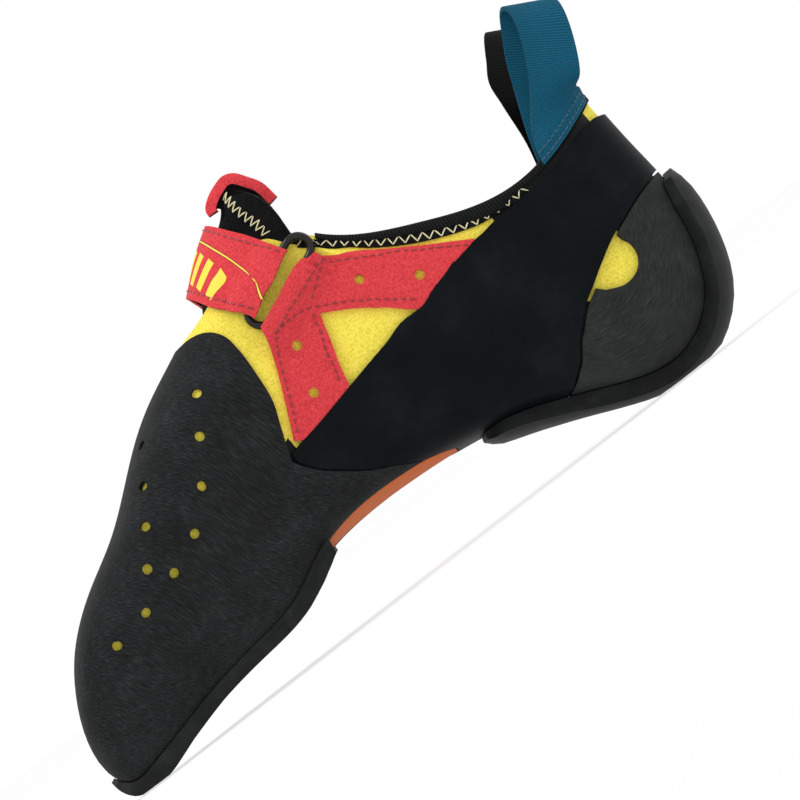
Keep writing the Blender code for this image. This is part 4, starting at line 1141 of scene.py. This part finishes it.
def makeStrap():
    outline = curved(strapUp) + [(0.685, 1.405), (0.640, 1.435), (0.580, 1.435)] + curved(strapDown)

    def face(height):
        return lambda along, around: offLast(along, around, strapBase(along, around) + height)
    over = face(strapThick)
    piece = panel("closureStrap", [outline], face(0), over, [red, ribbed], fineCell)
    softEdge(piece, 0.45 * mm)
    settle(piece, "red_microsuede", "strap")
    top = curved([(0.690, 0.700), (0.653, 0.740), (0.630, 0.785), (0.614, 0.845), (0.605, 0.925),
                  (0.602, 1.0)])
    foot = curved([(0.557, 0.672), (0.546, 0.706), (0.534, 0.756), (0.523, 0.820), (0.515, 0.926),
                   (0.513, 1.0)])
    seams = []
    for seam in (top, foot):
        seams += stitchLine(seam, over, strap["pitch"], strap["radius"])
    settle(sew("strapStitches", seams, redThread), "red_microsuede")

    def printed(name, corners, height, material):
        low, high = face(strapThick + height - strap["inkBelow"]), face(strapThick + height)
        settle(panel(name, corners, low, high, [material], fineCell), "red_microsuede")

    def stripe(points, width):
        run = curved(points, 6)
        return beside(run, 0.5 * width) + beside(run, -0.5 * width)[::-1]
    line = [(0.578, 0.668), (0.590, 0.700), (0.591, 0.736), (0.588, 0.794), (0.585, 0.860), (0.584, 0.94),
            (0.584, 1.02)]
    printed("strapLineEdge", [stripe(line, strap["edgeWidth"])], strap["edgeHigh"], darkPrint)
    printed("strapLine", [stripe(line, strap["lineWidth"])], strap["inkHigh"], yellowPrint)
    bars = []
    for n in range(strap["bars"]):
        v = strap["barsFrom"] + strap["barsApart"] * n
        bars.append(stripe([(0.524, v + 0.020), (0.547, v + 0.008), (0.569, v - 0.002)], strap["barWidth"]))
    printed("strapBars", bars, strap["inkHigh"], yellowPrint)


# Binding: elastic folded over the collar, a thin band below it on each side and a pale zigzag
# through the band. A zigzag is (pitch, width, thread's radius).
bandLow = [(0.774, 0.712), (0.880, 0.693), (0.954, 0.654), (0.959, 0.622), (0.961, 0.591), (0.964, 0.561),
           (0.970, 0.531), (0.976, 0.500), (0.984, 0.442), (0.988, 0.390)]
bandHigh = [(0.860, 0.728), (0.940, 0.715), (0.9985, 0.670), (0.9985, 0.630), (0.992, 0.590), (0.988, 0.556),
            (0.988, 0.522), (0.991, 0.485), (0.996, 0.434), (0.9985, 0.380)]


binding = {"stations": 90, "insideDown": 1.5 * mm, "bandLow": 0.1 * mm, "bandHigh": 0.62 * mm,
           "threadHigh": 0.70 * mm, "topmost": 0.9985}
zigzagThread = {"collar": (3.4 * mm, 2.3 * mm, 0.22 * mm), "tongue": (2.3 * mm, 3.2 * mm, 0.22 * mm)}


def makeBinding():
    half = np.linspace(0, bindingEnds, binding["stations"])
    stations = np.concatenate([-np.linspace(bindingEnds, 0, binding["stations"])[:-1], half])
    outer, inner = gap, -wallThick - gap
    rings = []
    for v in stations:
        full = float(ease((abs(v) - 0.40) / 0.06))
        start = 1 - (0.30 + 0.70 * full) * bindingWidth / patternLength
        base = last(np.array(1.0), np.array(v))
        rise = unit(base - last(np.array(1.0 - 7e-3), np.array(v)))
        normal = outward(np.array(1.0), np.array(v))
        ring = [offLast(np.array(start), np.array(v), high) for high in (outer, outer + elasticThick)]
        middle = 0.5 * (outer + elasticThick + inner - elasticThick)
        half = 0.5 * (outer - inner + 2 * elasticThick)
        down = rise * binding["insideDown"]
        for angle in np.linspace(0, math.pi, 9):
            ring.append(base + normal * (middle + half * math.cos(angle))
                        + rise * (gap + elasticThick) * math.sin(angle))
        ring += [base + normal * (inner - elasticThick) - down, base + normal * inner - down,
                 base + normal * inner + rise * gap, base + normal * outer + rise * gap]
        rings.append(ring)
    flat = []
    for place, ring in zip(lengths([ring[5] for ring in rings]), rings):
        flat += [(place, 0.6 * mm * k) for k in range(len(ring))]
    piece = loft("collarBinding", rings, [ribbed], flat=np.array(flat))
    settle(piece, "black_elastic", "collar_binding")
    for side, name in ((1, "collarBandInner"), (-1, "collarBandOuter")):
        strip = curved(bandLow) + [(min(a, binding["topmost"]), v) for a, v in curved(bandHigh)[::-1]]
        face = [(a, side * v) for a, v in strip][::side]
        low, high = raised(binding["bandLow"]), raised(binding["bandHigh"])
        settle(panel(name, [face], low, high, [ribbed], knitCell), "black_elastic")
    height = raised(binding["threadHigh"])
    run = curved([((a + b) / 2, (v + w) / 2) for (a, v), (b, w) in zip(bandLow, bandHigh)])
    seams = zigzag(run, height, *zigzagThread["collar"])
    seams += zigzag([(a, -v) for a, v in run], height, *zigzagThread["collar"])
    settle(sew("collarZigzag", seams, paleThread), "black_elastic")


# Tongue: a stretch knit sock with a wide ribbed band at the top, joined by a pale zigzag.
tongueBand = {"along": (0.68, 0.02), "beside": (0.02, 0.03), "ribbedFrom": 0.690}


def makeTongue():
    side = [(0.41, 1.0), (0.42, 0.88), (0.47, 0.79), (0.56, 0.72), (0.66, 0.700), (0.76, 0.690),
            (0.845, 0.690), (0.862, 0.72), (0.866, 0.76), (0.862, 0.80), (0.86, 0.84), (0.80, 0.88),
            (0.745, 0.94), (0.73, 1.0)]

    def under(along, around):
        return offLast(along, around, tongueFace(along, around) - knitThick)

    def over(along, around):
        side = 1 - np.abs(around - 1)
        band = easeOver(along, tongueBand["along"])
        band = band * easeOver(side - throatEdgeAt(along), tongueBand["beside"])
        return offLast(along, around, tongueFace(along, around) + elasticThick * band)
    piece = panel("tongueSock", [side, overRidge(side)], under, over, [ribbed, knit], knitCell)
    mesh = piece.data
    mesh.materials.append(knit)
    uv = mesh.uv_layers["pattern"].data
    for face in mesh.polygons:
        spot = uv[face.loop_start].uv
        if face.material_index == 0 and spot.x < tongueBand["ribbedFrom"] * patternLength:
            face.material_index = 2
    softEdge(piece, 0.3 * mm)
    settle(piece, "black_knit", "tongue")
    line = [(0.785, 0.916), (0.713, 0.850), (0.707, 0.793), (0.712, 0.760)]
    seams = zigzag(curved(line), over, *zigzagThread["tongue"])
    seams += zigzag([(a, 2 - v) for a, v in curved(line)], over, *zigzagThread["tongue"])
    settle(sew("tongueZigzag", seams, paleThread), "black_knit")


def sweepStrip(name, rows, thick, materials):
    grid = np.array(rows)
    along, across = np.gradient(grid, axis=0), np.gradient(grid, axis=1)
    normal = unit(np.cross(along, across))
    low, high = grid - 0.5 * thick * normal, grid + 0.5 * thick * normal
    rings = [list(a) + list(b[::-1]) for a, b in zip(low, high)]
    length, width = lengths(grid[:, 0]), lengths(grid[0])
    flat = []
    for place in length:
        flat += [(w, place) for w in width] + [(w, place) for w in width[::-1]]
    piece = loft(name, rings, materials, flat=np.array(flat))
    return piece, high, low, normal


def denser(rows, steps):
    columns = np.array(rows)
    out = [np.array(curved([tuple(p) for p in columns[:, k]], steps)) for k in range(columns.shape[1])]
    return np.stack(out, 1)


# The way a line in the shoe's middle plane turns to its left, at each of its points.
def leftOf(line):
    ways = []
    for i in range(len(line)):
        run = unit(line[min(i + 1, len(line) - 1)] - line[max(i - 1, 0)])
        ways.append(np.array([-run[2], 0, run[0]]))
    return ways


# Tab: red microsuede folded over the tongue's top, its side edges turned in, with a black inside
# that closes the fold behind it.
tab = {"columns": 25, "widen": 1.12, "turnFrom": 0.84, "turnIn": 2.4 * mm, "edge": 0.45 * mm,
       "inside": 1.6 * mm, "insideThick": 0.8 * mm, "insideWide": 0.9, "closeFrom": 0.55, "closed": 0.85,
       "hub": (0.001, 0, -0.004)}


def makeTab():
    line = [np.array([x * shoeLength, last(1.0, 1.0)[1], z * instepHeight]) for x, z in tabLine]
    middle = [point + 0.5 * tabThick * left for point, left in zip(line, leftOf(line))]
    inward = leftOf(middle)
    half = np.array([0, 0.5 * tabWidth, 0])
    rows, walls = [], []
    for point, droop in zip(middle, inward):
        row = []
        for share in np.linspace(-1, 1, tab["columns"]):
            wide = math.copysign(min(1.0, tab["widen"] * abs(share)), share)
            turned = max(0.0, abs(share) - tab["turnFrom"]) / (1 - tab["turnFrom"])
            row.append(point + wide * half + tab["turnIn"] * turned * droop)
        rows.append(row)
    piece, _, _, _ = sweepStrip("tongueTab", denser(rows, 5), tabThick, [red])
    softEdge(piece, tab["edge"])
    settle(piece, "red_microsuede", "tongue_tab")
    hub = 0.5 * (middle[0] + middle[-1]) + np.array(tab["hub"])
    for point, droop in zip(middle[:-2], inward):
        arch = point + tab["inside"] * droop
        row = []
        for share in np.linspace(-1, 1, 21):
            closed = tab["closed"] * max(0.0, (abs(share) - tab["closeFrom"]) / (1 - tab["closeFrom"]))
            wide = math.copysign(min(1.0, abs(share) / tab["closeFrom"]), share)
            row.append(arch + closed * (hub - arch) + wide * half * tab["insideWide"])
        walls.append(row)
    piece, _, _, _ = sweepStrip("tongueLining", denser(walls, 4), tab["insideThick"], [ribbed])
    settle(piece, "black_knit")


# Pull loops: 15 mm woven tape, blue on the inner side and black on the outer, sewn to the collar.
loopStitch = {"pitch": 1.9 * mm, "share": 0.8, "radius": 0.3 * mm, "sink": 0.6}


def makeLoops():
    for name, cadName, slotName, side, material, sewing, droop, shift in (
            ("pullLoopInner", "pull_loop_medial", "blue_webbing", 1, blueTape, blueThread, 1.0, 0.0),
            ("pullLoopOuter", "pull_loop_lateral", "black_elastic", -1, blackTape, blackThread,
             0.93, -0.030)):
        rear = last(1.0, side * loopTurns[2])
        rows = []
        for i, (x, z, away, lean) in enumerate(loopLine):
            free = ease((min(i, len(loopLine) - 1 - i) - 1) / loopHeld)
            risen = max(0.0, z - loopFree)
            middle = np.array([(x + shift * min(1.0, 4 * risen)) * shoeLength,
                               rear[1] - side * away * loopSpread,
                               (min(z, loopFree) + droop * risen) * heelHeight])
            half = 0.5 * webbingWidth * np.array([math.cos(lean), 0, math.sin(lean)])
            row = []
            for share in np.linspace(-1, 1, 13):
                turn = np.interp(share, (-1, -0.5, 0, 0.5, 1), loopTurns)
                out = outward(np.array(1.0), np.array(side * turn))
                reach = collarOut if away > 0 else collarIn
                seated = last(1.0, side * turn) + out * reach
                seated = seated + np.array(loopSeat["rise"]) * (z - loopSeat["from"]) * heelHeight
                row.append(free * (middle + share * half) + (1 - free) * seated)
            rows.append(row)
        dense = denser(rows, 6)
        piece, high, low, normal = sweepStrip(name, dense, webbingThick, [material])
        softEdge(piece, 0.35 * mm)
        settle(piece, slotName, cadName)
        seams = []
        for row in (2, 5):
            away = np.array([0, -side, 0.0])
            face = high if (normal[row, 6] @ away) > 0 else low
            sign = 1 if (normal[row, 6] @ away) > 0 else -1
            run = walk(face[row], loopStitch["pitch"])
            for a, b in zip(run, run[1:]):
                seams.append(threadRings(a, a + loopStitch["share"] * (b - a), sign * normal[row, 6],
                                         loopStitch["radius"], loopStitch["sink"]))
        settle(sew(name + "Stitches", seams, sewing), slotName)


makeUpper()
print("upper done")
makeToePatch()
makeSlingshot()
makeHeelCup()
print("rubber panels done")
makeMidsole()
makeInsole()
makeOutsoleFront()
makeOutsoleHeel()
print("soles done")
makeYokes()
makeRing()
makeStrap()
makeBinding()
makeTongue()
makeTab()
makeLoops()
print("fittings done")


# Studio: a flat pale floor just below the shoe, a white world, two soft lamps as (name, place,
# size, power), and the photograph's view, rolled.
studio = {"floor": 8, "floorHeight": -0.0005, "floorAlpha": 0.3, "aim": (-0.08, 0, 0.05),
          "lamps": (("key", (-0.5, -0.5, 1.2), 0.5, 6), ("rim", (0.9, 0.2, 0.9), 0.5, 2))}
view = {"middle": (-0.07143, 0.0, 0.04458), "width": 0.2302, "away": 3.0, "sensor": 36,
        "right": (0.7923, 0.0, -0.6101), "up": (0.6101, 0.0, 0.7923)}


def makeStage():
    bpy.ops.mesh.primitive_plane_add(size=studio["floor"], location=(0, 0, studio["floorHeight"]))
    floor = bpy.context.object
    floor.name = "studioFloor"
    floor.data.transform(floor.matrix_world)
    floor.matrix_world = Matrix.Identity(4)
    material, tree, shader = blank("whitePaper", "#f8f8f8", 0.9, Alpha=studio["floorAlpha"])
    cloud = noise(tree, objectCoords(tree), 0.4, 2.0)
    tinted(tree, shader, (cloud, "Fac"), ("#f6f6f6", "#fafafa"))
    floor.data.materials.append(material)
    world = bpy.data.worlds.new("studio")
    bpy.context.scene.world = world
    world.use_nodes = True
    world.node_tree.nodes["Background"].inputs["Color"].default_value = (1, 1, 1, 1)
    world.node_tree.nodes["Background"].inputs["Strength"].default_value = 1.0
    for name, place, size, power in studio["lamps"]:
        bpy.ops.object.light_add(type="AREA", location=place)
        lamp = bpy.context.object
        lamp.name = name
        lamp.data.size, lamp.data.energy = size, power
        aim = Vector(studio["aim"]) - Vector(place)
        lamp.rotation_euler = aim.to_track_quat("-Z", "Y").to_euler()


def makeCamera():
    camera = bpy.data.cameras.new("camera")
    seen = bpy.data.objects.new("camera", camera)
    bpy.context.scene.collection.objects.link(seen)
    right, up = Vector(view["right"]), Vector(view["up"])
    back = right.cross(up)
    turn = Matrix((right, up, back)).transposed().to_4x4()
    seen.matrix_world = Matrix.Translation(Vector(view["middle"]) + back * view["away"]) @ turn
    camera.sensor_width = view["sensor"]
    camera.lens = view["sensor"] * view["away"] / view["width"]
    camera.clip_end = 50
    bpy.context.scene.camera = seen


makeStage()
makeCamera()
bpy.context.scene.view_settings.view_transform = "Standard"
print("studio done")
